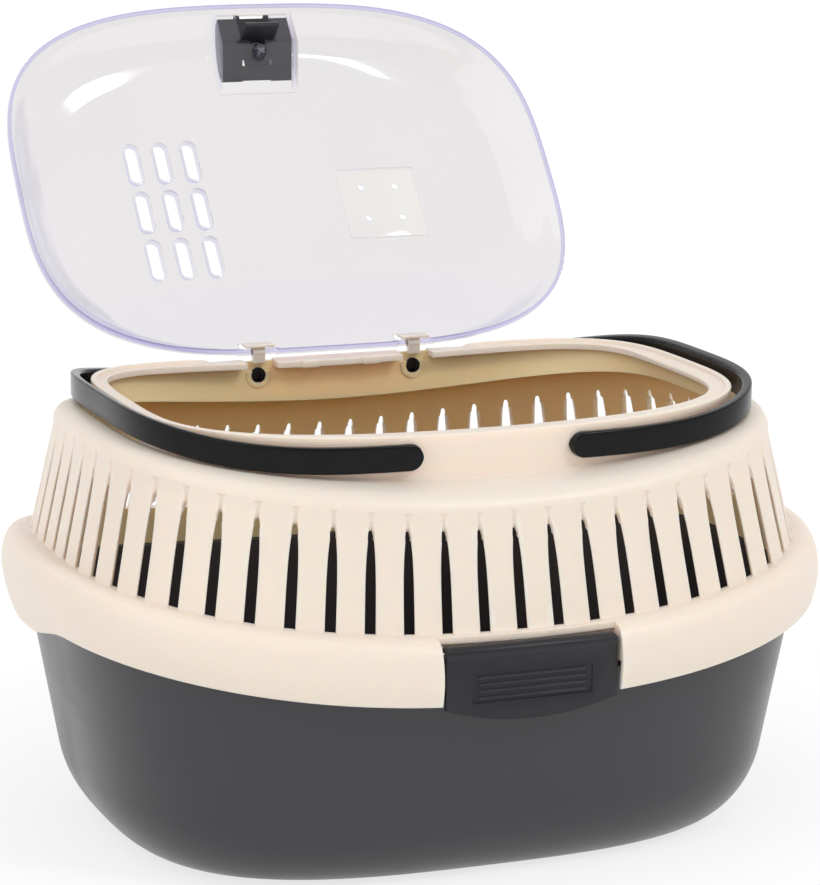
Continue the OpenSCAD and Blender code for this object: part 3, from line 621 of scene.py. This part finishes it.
# Its inside colour is a painted warm glow, for the light that comes through the thin cream walls
cream_plastic = plastic("cream_polypropylene", cream, cream_worn, 0.4, 1500, 0.00004, 14, 0.03,
                        inside=paint(252, 216, 166))
cover = shell("cover", outer + inner[::-1], cream_plastic)
slots = run_tree(slot_cutter(), slot_tree(), Slot_count=slot_count, Foot_half_length=foot_a * MM,
                 Foot_half_depth=foot_b * MM, Exponent=wall_n, Wall_lean=wall_lean,
                 Foot_height=shelf_z * MM, Foot_rise=flange_sheer * MM, Head_rise=shoulder_sheer * MM,
                 Slot_height=slot_h * MM, Sheer_half_length=flange_a * MM, Plastic=cream_plastic)
work(cover, slots)

# Cheeks for the latch pins, pads and bosses for the bail studs, and the cuts round them
pivot_x, pivot_z, stud_r, boss_r, pad_r = 43.2, rim_z - 8.9, 4, 6.5, 8.5
bail_a, bail_b, bail_n = neck_a + 4.5, neck_b + 0.7, 3.5
latch_pin_y, latch_pin_z, latch_pin_r, knuckle_r = flange_b - 7, shelf_z - 5.8, 1.25, 3.8
latch_half, notch_half, cheek_t = 42.75, 44.55, 3
shelf_cut_y = latch_pin_y - knuckle_r - 0.8
hinge_y, hinge_z = 108.0, rim_z + 3.5
seat_half, far, ledge_back, tab_x, tab_half = 8.5, 300, 8, 17, 4.5


def outline_y(a, b, n, x):
    return b * (1 - abs(x / a) ** n) ** (1 / n)


def outline_point(a, b, n, angle):
    """Where a superellipse outline is at an angle of its stretched polar form."""
    c, s = np.cos(angle), np.sin(angle)
    reach = (abs(c) ** n + abs(s) ** n) ** (-1 / n)
    return a * c * reach, b * s * reach


def span(front, one, other):
    """Two distances from the middle, to the front (-1) or the rear (1), as coordinates in rising order."""
    return sorted((front * one, front * other))


pad_y = outline_y(bail_a, bail_b, bail_n, pivot_x + pad_r) - fit
boss_y = neck_b - neck_wall - 1.4
cheek_x = notch_half + cheek_t / 2
for front in (-1, 1):
    for side in (-1, 1):
        stud = (side * pivot_x, pivot_z)
        join(cover, rod("pad", pad_r, stud, *span(front, pad_y, neck_b - 2), "y"))
        join(cover, rod("boss", boss_r, stud, *span(front, neck_b - 2, boss_y), "y"))
        x, (y0, y1) = side * cheek_x, span(front, latch_pin_y + 2, shelf_cut_y - 4)
        join(cover, block("cheek", (x - cheek_t / 2, y0, tub_h + 3), (x + cheek_t / 2, y1, shelf_z - 1)))
    y0, y1 = span(front, far, shelf_cut_y)
    work(cover, block("notch", (-notch_half, y0, skirt_z - 5), (notch_half, y1, shelf_z + 10)))
    work(cover, rod("bore", latch_pin_r + 0.06, (front * latch_pin_y, latch_pin_z), -notch_half - cheek_t,
                    notch_half + cheek_t))
for side in (-1, 1):
    work(cover, rod("bore", stud_r + 0.05, (side * pivot_x, pivot_z), -far, far, "y"))
    low, high = side * pivot_x - seat_half, side * pivot_x + seat_half
    for y, z in ((neck_b - neck_wall, under_z - 2), (neck_b + 2, ledge_z)):
        work(cover, block("seat", (low, mouth_b - 2, z), (high, y, rim_z + 5)))
ledge_x, ledge_y = outline_point(mouth_a, mouth_b, mouth_n, angles)
work(cover, prism("rear_ledge", list(zip(ledge_x, ledge_y + ledge_back)), under_z - 4, rim_z + 4, "z"))
for x in (-tab_x, tab_x):
    join(cover, block("tab", (x - tab_half, mouth_b + ledge_back - 0.9, ledge_z - 3.6),
                      (x + tab_half, mouth_b + ledge_back + 5, ledge_z + 0.35), 0.4))
work(cover, block("low_ridge", (-2 * pivot_x, hinge_y - 2, ledge_z + 0.9),
                  (2 * pivot_x, neck_b + 2, rim_z + 5)))
dress(cover, cream_plastic)
# The inner faces below the ledge take a painted warm glow, for the light that comes through the thin plastic
facing, middle = face_table(cover)
outwards = np.sign(middle[:, :2]) * np.abs(middle[:, :2] / (neck_a * MM, neck_b * MM)) ** (neck_n - 1)
outwards /= np.hypot(*(outwards / (neck_a, neck_b)).T)[:, None] * (neck_a, neck_b)
slant = np.hypot(facing[:, 0], facing[:, 1])
inwards = (np.sum(facing[:, :2] * outwards, 1) < -0.85 * slant) & (slant > 0.05)
inwards &= (facing[:, 2] < 0.3) | (middle[:, 2] > wall_z * MM)
rim = under_z + 0.1 + rim_sheer * (middle[:, 0] / (flange_a * MM)) ** 2
mark_faces(cover, "inner_side", inwards & (middle[:, 2] < rim * MM))
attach(cover, "carrier")
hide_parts("top_cover")

# The hinge clips
# Two cream clips snap over the trunnions of the lid. Each has a post on the boss below it,
# an eye round the trunnion and a cap for the thumb.
trunnion_r, clip_y0, clip_y1 = 1.7, hinge_y - 2.6, neck_b - neck_wall - fit
clip_half, eye_r, stem_half, cap_half, cap_z0, cap_z1 = 3.25, 2.9, 2.5, 7.8, hinge_z + 2.7, hinge_z + 4.3
for side, word in ((-1, "left"), (1, "right")):
    x = side * pivot_x
    clip = block("hinge_clip_piece_" + word, (x - clip_half, clip_y0, pivot_z + boss_r + 0.1),
                 (x + clip_half, clip_y1, hinge_z), 0.4)
    join(clip, rod("eye", eye_r, (hinge_y, hinge_z), x - clip_half, x + clip_half, "x", 0.4))
    join(clip, block("stem", (x - stem_half, clip_y0, hinge_z), (x + stem_half, hinge_y, cap_z0 + 0.5)))
    join(clip, block("cap", (x - cap_half, hinge_y - 4.5, cap_z0),
                     (x + cap_half, hinge_y + 3.4, cap_z1), 0.5))
    work(clip, rod("bore", trunnion_r + 0.06, (hinge_y, hinge_z), x - 10, x + 10))
    dress(clip, cream_plastic)
    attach(clip, "carrier")
    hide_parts("hinge_clip_" + word)

# The carrying bails
# Two straps of black polypropylene lie round the neck. Each has rounded ends with studs that snap
# through the neck and turn in it. The moulding is glossy, with rounded edges.
strap_h, strap_t, bail_rise, split_w, dimple_r = 12.6, 4.5, 13, 1.4, 1.5
black = plastic("black_polypropylene", paint(13, 12, 13), paint(60, 60, 62), 0.18, 900, 0.00002, 30,
                gloss=0.18)


def strap_section(half_height):
    """Points round the strap's section, as (distance outwards, height)."""
    corner = min(1.2, half_height * 0.6)
    points = []
    for cx, cz, turn in ((strap_t - corner, half_height - corner, 0), (corner, half_height - corner, 90),
                         (corner, corner - half_height, 180), (strap_t - corner, corner - half_height, 270)):
        for step in range(0, 91, 18):
            t = radians(turn + step)
            points.append((cx + corner * cos(t), cz + corner * sin(t)))
    return points


def bail(name):
    """The right bail: its strap with half-round ends, and its two studs."""
    r = strap_h / 2
    ends = [(pivot_x - r * cos(radians(t)), r * sin(radians(t))) for t in range(6, 91, 7)]
    ends += [(pivot_x + 4 * i, r) for i in range(1, 5)]
    stations = [(atan2(outline_y(bail_a, bail_b, bail_n, x) / bail_b, x / bail_a), h) for x, h in ends]
    start = stations[-1][0]
    stations += [(start * (1 - i / 60), r) for i in range(1, 60)]
    stations += [(0, r)]
    stations += [(-f, h) for f, h in stations[-2::-1]]
    points = []
    for f, half in stations:
        for off, z in strap_section(half):
            x, y = outline_point(bail_a + off, bail_b + off, bail_n, f)
            climb = bail_rise * (max(0, x - pivot_x) / (bail_a + strap_t - pivot_x)) ** 3
            points.append((x, y, pivot_z + climb + z))
    strap = loft(name, points, len(strap_section(r)))
    bail_y = outline_y(bail_a, bail_b, bail_n, pivot_x)
    for front in (-1, 1):
        stud = rod("stud", stud_r, (pivot_x, pivot_z), *span(front, bail_y + 1, boss_y + fit), "y", 0.5)
        y0, y1 = span(front, boss_y - 1, boss_y + 2.4)
        work(stud, block("split", (pivot_x - split_w / 2, y0, pivot_z - 5),
                         (pivot_x + split_w / 2, y1, pivot_z - 1.6)))
        dimple = span(front, boss_y - 1, boss_y + 1.1)
        work(stud, rod("dimple", dimple_r, (pivot_x, pivot_z), *dimple, "y"))
        join(strap, stud)
    return strap


for word in ("right", "left"):
    handle = bail("bail_strap_" + word)
    if word == "left":
        handle.data.transform(Matrix.Scale(-1, 4, (1, 0, 0)))
        handle.data.flip_normals()
    dress(handle, black)
    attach(handle, "bail_" + word)
    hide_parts("handle_" + word)

# The lid
# A clear polystyrene dome that stands open on its trunnions. Air slots and a sunk square panel are
# moulded in its top, and a pocket for the latch in its front edge. The plastic shows violet edge on.
lid_inset, lid_wall, dome_h, lid_n, open_angle = 0.9, 2, 25.5, 3.2, 129.9
lid_a, lid_b, lid_z = neck_a - 0.4 - lid_inset, neck_b - 0.4 - lid_inset, rim_z + fit
pocket_half, floor_h = 20.5, 2.5
opened = (Matrix.Translation((0, hinge_y * MM, hinge_z * MM))
          @ Matrix.Rotation(radians(-open_angle), 4, "X")
          @ Matrix.Translation((0, -hinge_y * MM, -hinge_z * MM)))


def row_tree():
    """Repeats a piece in rows and columns, by one step for the columns and one for the rows."""
    tree, given, result = new_tree("rows_and_columns", {
        "Columns": "Int", "Rows": "Int", "Column step": "Vector", "Row step": "Vector", "Middle": "Vector"})
    count = times(given["Columns"], given["Rows"])
    points = output(tree, "MeshLine", {"Count": count, "Offset": (0, 0, 0)})
    index = output(tree, "InputIndex")
    row = calc("FLOOR", ratio(plus(index, 0.5), given["Columns"]))
    column = minus(index, times(row, given["Columns"]))
    spot = given["Middle"]
    for number, total, step in ((column, "Columns", "Column step"), (row, "Rows", "Row step")):
        centred = minus(number, ratio(minus(given[total], 1), 2))
        away = output(tree, "VectorMath", {0: given[step], "Scale": centred}, operation="SCALE")
        spot = output(tree, "VectorMath", {0: spot, 1: away}, operation="ADD")
    spread = output(tree, "SetPosition", {"Geometry": points, "Position": spot})
    end_tree(output(tree, "InstanceOnPoints", {"Points": spread, "Instance": given["Geometry"]}),
             given, result)
    return tree


def clear_plastic():
    """Clear polystyrene: smooth glass-like walls with faint haze and scuffs."""
    # The walls are thin and even, so they bend no light. Their gloss is the coat's.
    material, tree, shader = new_material("clear_polystyrene", {
        "Transmission Weight": 1, "IOR": 1.02, "Coat Weight": 1, "Coat Roughness": 0.1})
    skin = grain(tree, 240, 12)
    tint = blend_colour(skin["Flow"], paint(241, 239, 232), paint(234, 232, 226))
    # It shows violet edge on
    edge_on = add(tree, "Attribute", attribute_name="edge_on").outputs["Fac"]
    grazing = remap(add(tree, "LayerWeight", {"Blend": 0.5}).outputs["Facing"], (0.62, 0.95), (0, 0.8))
    tint = blend_colour(greater(edge_on, grazing), tint, paint(196, 191, 226))
    finish(shader, tint, remap(skin["Scuffs"], (0, 1), (0.02, 0.1)), skin["Flow"], 0.25, 0.0004)
    # Lamps shine through the lid, so it throws only a faint shadow
    path = add(tree, "LightPath").outputs
    film = output(tree, "BsdfTransparent", {"Color": paint(243, 242, 248)})
    through = greater(path["Is Shadow Ray"], path["Is Diffuse Ray"])
    mixed = output(tree, "MixShader", {0: through, 1: shader.outputs[0], 2: film})
    dye = output(tree, "VolumeAbsorption", {"Color": (0.55, 0.52, 0.98, 1), "Density": 60})
    feed(tree.nodes["Material Output"], {"Surface": mixed, "Volume": dye})
    return material


def soft_least(a, b, reach=0.22):
    """The lesser of two heights, with the crease between them rounded."""
    return -reach * np.logaddexp(-a / reach, -b / reach)


def lid_height(inset, x, y):
    """Height of the dome above the lid's edge: its profile, and its slopes to the hinge and the latch."""
    steps = np.array([
        (0, 3), (1.6, 4.1), (4, 6), (8, 10.5), (12, 14), (17, 17.6), (22, 20), (30, 22.5), (45, 23.8),
        (60, 24.5), (85, 25.1), (120, 25.4), (160, 25.5)])
    profile = np.interp(inset, steps[:, 0], steps[:, 1])
    rear = 3.5 + 0.36 * (lid_b - y)
    crescent = -36 - 0.0024 * x ** 2
    front = 25.4 - 0.11 * np.maximum(0, crescent - y) + 0.02 * np.maximum(0, y - crescent)
    return soft_least(soft_least(profile, rear), front)


last_inset = 85
insets = np.append(np.linspace(0, 30, 31), np.linspace(32, last_inset, 27))
plans = [(lid_a - i, lid_b - i, i) for i in insets]
plans += [((lid_a - last_inset) * s, (lid_b - last_inset) * s, last_inset + 60 * (1 - s))
          for s in np.linspace(0.9, 0, 10)]
heights = [np.full(turns, lid_z + z) for z in (0, 1.5)]
heights += [lid_z + lid_height(inset, *outline_point(a, b, lid_n, angles)) for a, b, inset in plans]
lid_rings = [(a, b, lid_n, 0, rim_sheer) for a, b, _ in plans[:1] * 2 + plans]
clear = clear_plastic()
lid = shell("lid", lid_rings, clear, closed=False, heights=heights)
wall = lid.modifiers.new("wall", "SOLIDIFY")
wall.thickness, wall.offset, wall.use_even_offset = lid_wall * MM, -1, True
settle(lid)

# The pocket for the latch, with its window, screw post and walls
repeat = row_tree()
fold_y, slope_run, slope_rise, post_r, post_top = -mouth_b + 6, 20, 17.5, 4, 12.3
pocket_y0, pocket_y1, post_y = -lid_b + 1.8, -lid_b + 3.9, fold_y + 3
hook_y, hook_t, slide_travel, window_half, screw_r = -mouth_b + 0.4, 2, 2.5, 10, 1.2


def lift(profile):
    """A profile whose heights are above the lid's edge."""
    return [(y, lid_z + z) for y, z in profile]


work(lid, prism("space", lift([(pocket_y1, floor_h + lid_wall), (fold_y - 0.9, floor_h + lid_wall),
                               (fold_y + slope_run - 1.3, floor_h + slope_rise + 1.6),
                               (fold_y + slope_run - 1.3, 40), (pocket_y1, 40)]), -pocket_half, pocket_half))
for side in (-1, 1):
    x = side * pivot_x
    work(lid, block("gap", (x - 9, hinge_y - 7, lid_z - 5), (x + 9, lid_b + 5, lid_z + 40)))
under = [(pocket_y0, floor_h), (fold_y, floor_h), (fold_y + slope_run, floor_h + slope_rise)]
plate = under + [(fold_y + slope_run, floor_h + slope_rise + 2.9), (fold_y - 0.9, floor_h + lid_wall),
                 (pocket_y0, floor_h + lid_wall)]
flank = under + [(fold_y + slope_run, dome_h - 3)]
flank += [(i - lid_b, dome_h - h) for i, h in ((30, 4), (22, 6.5), (12, 12.5), (8, 16), (4, 20.5))]
flank += [(pocket_y0, floor_h + lid_wall)]
pocket = prism("pocket", lift(plate), -pocket_half - lid_wall, pocket_half + lid_wall)
for x in (-pocket_half - lid_wall, pocket_half):
    join(pocket, prism("flank", lift(flank), x, x + lid_wall))
join(pocket, rod("post", post_r, (0, post_y), lid_z + 1.5, lid_z + post_top, "z", 0.3))
work(pocket, block("window", (-window_half, pocket_y1 - 1.2, lid_z),
                   (window_half, hook_y + hook_t + slide_travel + fit, lid_z + 6)))
work(pocket, rod("bore", screw_r + 0.1, (0, post_y), lid_z, lid_z + post_top + 5, "z"))
work(pocket, rod("sink", 2.4, (0, post_y), lid_z, lid_z + 4.1, "z"))
join(lid, pocket)


def long_hole(name, width, length, low, high, round_edges=0):
    """A bar with round ends, long along Y, at the middle of the plan."""
    r = width / 2
    ends = [(r * cos(radians(t)), r * sin(radians(t)) + copysign(length / 2 - r, 180 - t - 0.1))
            for t in [*range(0, 181, 12), *range(180, 360, 12)]]
    return prism(name, ends, low, high, "z", round_edges)


vent_w, vent_len, vent_lip, top_y = 7, 24, 1.2, 7
panel_x0, panel_x1, panel_half, panel_z, border_w = 32, 80, 23.5, lid_z + dome_h, 1.4
vent_grid = dict(Columns=3, Rows=3, Column_step=(0.016, 0, -0.00052), Row_step=(0, 0.0305, 0),
                 Middle=(-0.064, top_y * MM, 0), Plastic=clear)
lips = long_hole("lips", vent_w + 2 * vent_lip, vent_len + 2 * vent_lip, lid_z + 22.3, lid_z + 25, 0.4)
join(lid, run_tree(lips, repeat, **vent_grid))
work(lid, run_tree(long_hole("vents", vent_w, vent_len, lid_z + 10, lid_z + 40), repeat, **vent_grid))
panel, groove = (block(word, (panel_x0, top_y - panel_half, panel_z - deep),
                       (panel_x1, top_y + panel_half, lid_z + 60), 2.5)
                 for word, deep in (("panel", 0.7), ("groove", 1.5)))
work(lid, panel)
work(groove, block("island", (panel_x0 + border_w, top_y - panel_half + border_w, lid_z),
                   (panel_x1 - border_w, top_y + panel_half - border_w, lid_z + 70), 2))
work(lid, groove)
holes = rod("holes", 1.8, (0, 0), lid_z + 10, lid_z + 40, "z")
work(lid, run_tree(holes, repeat, Columns=2, Rows=2, Column_step=(0.02, 0, 0), Row_step=(0, 0.02, 0),
                   Middle=(0.056, top_y * MM, 0), Plastic=clear))
for side in (-1, 1):
    x = side * pivot_x
    join(lid, rod("trunnion", trunnion_r, (hinge_y, hinge_z), x - 11.5, x + 11.5, "x", 0.2))
# Its rim and the sides of its holes are the faces that show the plastic edge on
facing, middle = face_table(lid)
x, y, z = middle.T / MM
above = z - lid_z - rim_sheer * (x / flange_a) ** 2
holes = (np.abs(facing[:, 2]) < 0.35) & (above > 16) & (np.abs(x) < 100) & (np.abs(y - top_y) < 50)
mark_faces(lid, "edge_on", np.where(above < 1.6, 1, np.where(holes, 0.7, 0)))
lid.data.transform(opened)
dress(lid, clear, 28)
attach(lid, "lid")
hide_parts("lid_shell")

# The latches at the front and rear
# Each is a dark grey plate that hangs on a steel pin in the flange. Its nose catches under the lip
# of the tub. The face is moulded with straight grip ribs in a shallow field.
latch_t, side_h, bulge, catch, set_back = 3, 26, 7, 2.4, 0.6
field_half, field_top, field_low, field_deep, rib_half, rib_mid = 30, -9.5, -23.5, 0.6, 27, -16.5
dark_grey = plastic("dark_grey_polypropylene", paint(35, 33, 37), paint(72, 70, 74), 0.36, 1600, 0.00005,
                    gloss=0.3)


def latch(name):
    """The front latch, drawn about its pin and then put on it."""
    arc_r = (latch_half ** 2 + bulge ** 2) / (2 * bulge)
    corner_r = 3
    corner_x, corner_z = latch_half - corner_r, knuckle_r - corner_r
    edge = [(latch_half, corner_z)]
    edge += [(corner_x + corner_r * cos(radians(t)), corner_z + corner_r * sin(radians(t)))
             for t in range(10, 91, 10)]
    half_arc = asin(latch_half / arc_r)
    low = [(arc_r * sin(t), arc_r - side_h - bulge - arc_r * cos(t))
           for t in np.linspace(0, half_arc, 24)]
    right = low + edge
    outline = right + [(-x, z) for x, z in right[::-1]]
    outline = [p for i, p in enumerate(outline) if dist(p, outline[i - 1]) > 1e-6]
    body = rod(name, knuckle_r, (0, 0), -latch_half, latch_half, "x")
    face, inner_face = set_back - knuckle_r, latch_t - knuckle_r
    join(body, block("plate", (-latch_half, face, -60), (latch_half, inner_face, 0)))
    nose_z, nose_y = tub_h - lip_t - fit - latch_pin_z, latch_pin_y - (flange_b - lip_inset) + catch
    nose = [(inner_face - 1, nose_z), (nose_y, nose_z), (nose_y, nose_z - 1.2), (inner_face, nose_z - 4.5),
            (inner_face - 1, nose_z - 4.5)]
    join(body, prism("nose", nose, 8 - latch_half, latch_half - 8))
    work(body, prism("outline", outline, -20, 20, "y"), "INTERSECT")
    round_off(body, 0.6, 40)
    field = ((-field_half, field_top), (field_half, field_top),
             (field_half, field_low), (-field_half, field_low))
    work(body, prism("field", field, face - 1, face + field_deep, "y", 0.5))
    rib = block("ribs", (-rib_half, face, -0.8), (rib_half, face + 1.2, 0.8), 0.45)
    join(body, run_tree(rib, repeat, Columns=4, Rows=1, Column_step=(0, 0, -0.0032), Row_step=(0, 0, 0),
                        Middle=(0, 0, rib_mid * MM), Plastic=dark_grey))
    work(body, rod("bore", latch_pin_r + 0.06, (0, 0), -60, 60, "x"))
    body.data.transform(Matrix.Translation((0, -latch_pin_y * MM, latch_pin_z * MM)))
    return body


for word, turn in (("front", 0), ("rear", 180)):
    snap = latch(word + "_latch_plate")
    snap.data.transform(Matrix.Rotation(radians(turn), 4, "Z"))
    dress(snap, dark_grey)
    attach(snap, word + "_snap")
    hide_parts(word + "_latch")

# The small parts of the latches
# The slider and its retainer are dark grey mouldings in the pocket. The spring, the screw and the
# latch pins are steel. Their solids take their finish here, but a copy of the spring's coil replaces
# the spring, and a thin plate is added behind the slider.


def steel():
    """Drawn steel with fine lines along it and uneven gloss."""
    material, tree, shader = new_material("drawn_steel", {"Metallic": 1})
    skin = grain(tree, 2400, 90)
    tint = blend_colour(skin["Flow"], paint(196, 197, 200), paint(168, 169, 172))
    finish(shader, tint, remap(skin["Scuffs"], (0, 1), (0.26, 0.45)), skin["Height"], 0.3, 0.00002)
    return material


metal = steel()
# A dark plate on the slider's back closes the room above the retainer
back_y, back_lean = fold_y - 0.9 - slide_travel - 0.25, (slope_run - 0.4) / (slope_rise - 0.4)
rise0, rise1, plate_t = 14.6, 19.6, 1.2
sheet = [(back_y + back_lean * (h - 4.8) - t, h)
         for h, t in ((rise0, 0), (rise1, 0), (rise1, plate_t), (rise0, plate_t))]
back_plate = prism("slider_back_plate", lift(sheet), 0.4 - pocket_half, pocket_half - 0.4, "x", 0.3)
back_plate.data.transform(opened)
dress(back_plate, dark_grey)
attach(back_plate, "lid_latch")
for node, material in (("lid_latch_slider", dark_grey), ("lid_latch_retainer", dark_grey),
                       ("lid_latch_spring", metal), ("lid_latch_screw", metal), ("front_latch_pin", metal),
                       ("rear_latch_pin", metal)):
    part = frame["nodes"][node]
    part.data.materials.clear()
    part.data.materials.append(material)
# A copy of the spring's coil rides on the lid; its fixed end along the slider's course is worked out
joints = frame["record"]["behaviour"]["joints"]
slide = next(joint for joint in joints if joint["name"] == "lid_latch_slide")
course = Vector(slide["axis"]).normalized()
coil = place("latch_coil", frame["nodes"]["lid_latch_spring"].data.copy())
shape = bmesh.new()
shape.from_mesh(coil.data)
bmesh.ops.remove_doubles(shape, verts=shape.verts, dist=0.000001)
shape.to_mesh(coil.data)
shape.free()
dress(coil, metal, 60)
along = [course.dot(point.co) for point in coil.data.vertices]
fixed = sum((point.co for point in coil.data.vertices), Vector()) / len(along)
fixed += course * (max(along) - course.dot(fixed))
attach(coil, "lid")
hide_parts("lid_latch_spring")
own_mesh(coil)

# The studio
# A plain white floor, an even white sky and two soft lamps. What looks past the keeper sees white.
sky = bpy.data.worlds.new("studio")
bpy.context.scene.world = sky
sky.use_nodes = True
tree = sky.node_tree
path = add(tree, "LightPath").outputs
plain = greater(path["Is Camera Ray"], path["Is Transmission Ray"])
room_light, room_front = 0.74, 0.28
# In gloss, the room in front of the keeper is dimmer than the white behind and beside it
toward = add(tree, "SeparateXYZ", {0: add(tree, "TexCoord").outputs["Generated"]}).outputs[1]
mirrored = remap(toward, (-0.9, 0.1), (room_front - room_light, 1 - room_light))
mirrored = times(path["Is Glossy Ray"], mirrored)
strength = plus(room_light, greater(mirrored, times(plain, 1 - room_light)))
strength = plus(strength, lesser(mirrored, 0))
feed(tree.nodes["Background"], {"Strength": strength, "Color": (1, 1, 1, 1)})
half, floor_white, white_share = 20000, 1.08, 0.68
floor = prism("floor", [(-half, -half), (half, -half), (half, half), (-half, half)], -60, 0, "z")
paper, tree, matt = new_material("white_floor", {
    "Base Color": (0.95, 0.95, 0.95, 1), "Roughness": 0.9, "Specular IOR Level": 0})
# To the camera, and in gloss and glass, the floor is mostly white, so its shadows are pale
path = add(tree, "LightPath").outputs
seen = greater(path["Is Camera Ray"], greater(path["Is Glossy Ray"], path["Is Transmission Ray"]))
white = output(tree, "Emission", {"Strength": floor_white})
lit = output(tree, "MixShader", {0: times(seen, white_share), 1: matt.outputs[0], 2: white})
feed(tree.nodes["Material Output"], {"Surface": lit})
floor.data.materials.append(paper)
floor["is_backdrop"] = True
for name, power, spread, turn in (("key", 0.64, 12, (48, 0, 34)), ("fill", 0.66, 70, (55, 0, -55))):
    lamp = place(name, bpy.data.lights.new(name, "SUN"))
    lamp.data.energy, lamp.data.angle = power, radians(spread)
    lamp.rotation_euler = [radians(v) for v in turn]

low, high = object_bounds()
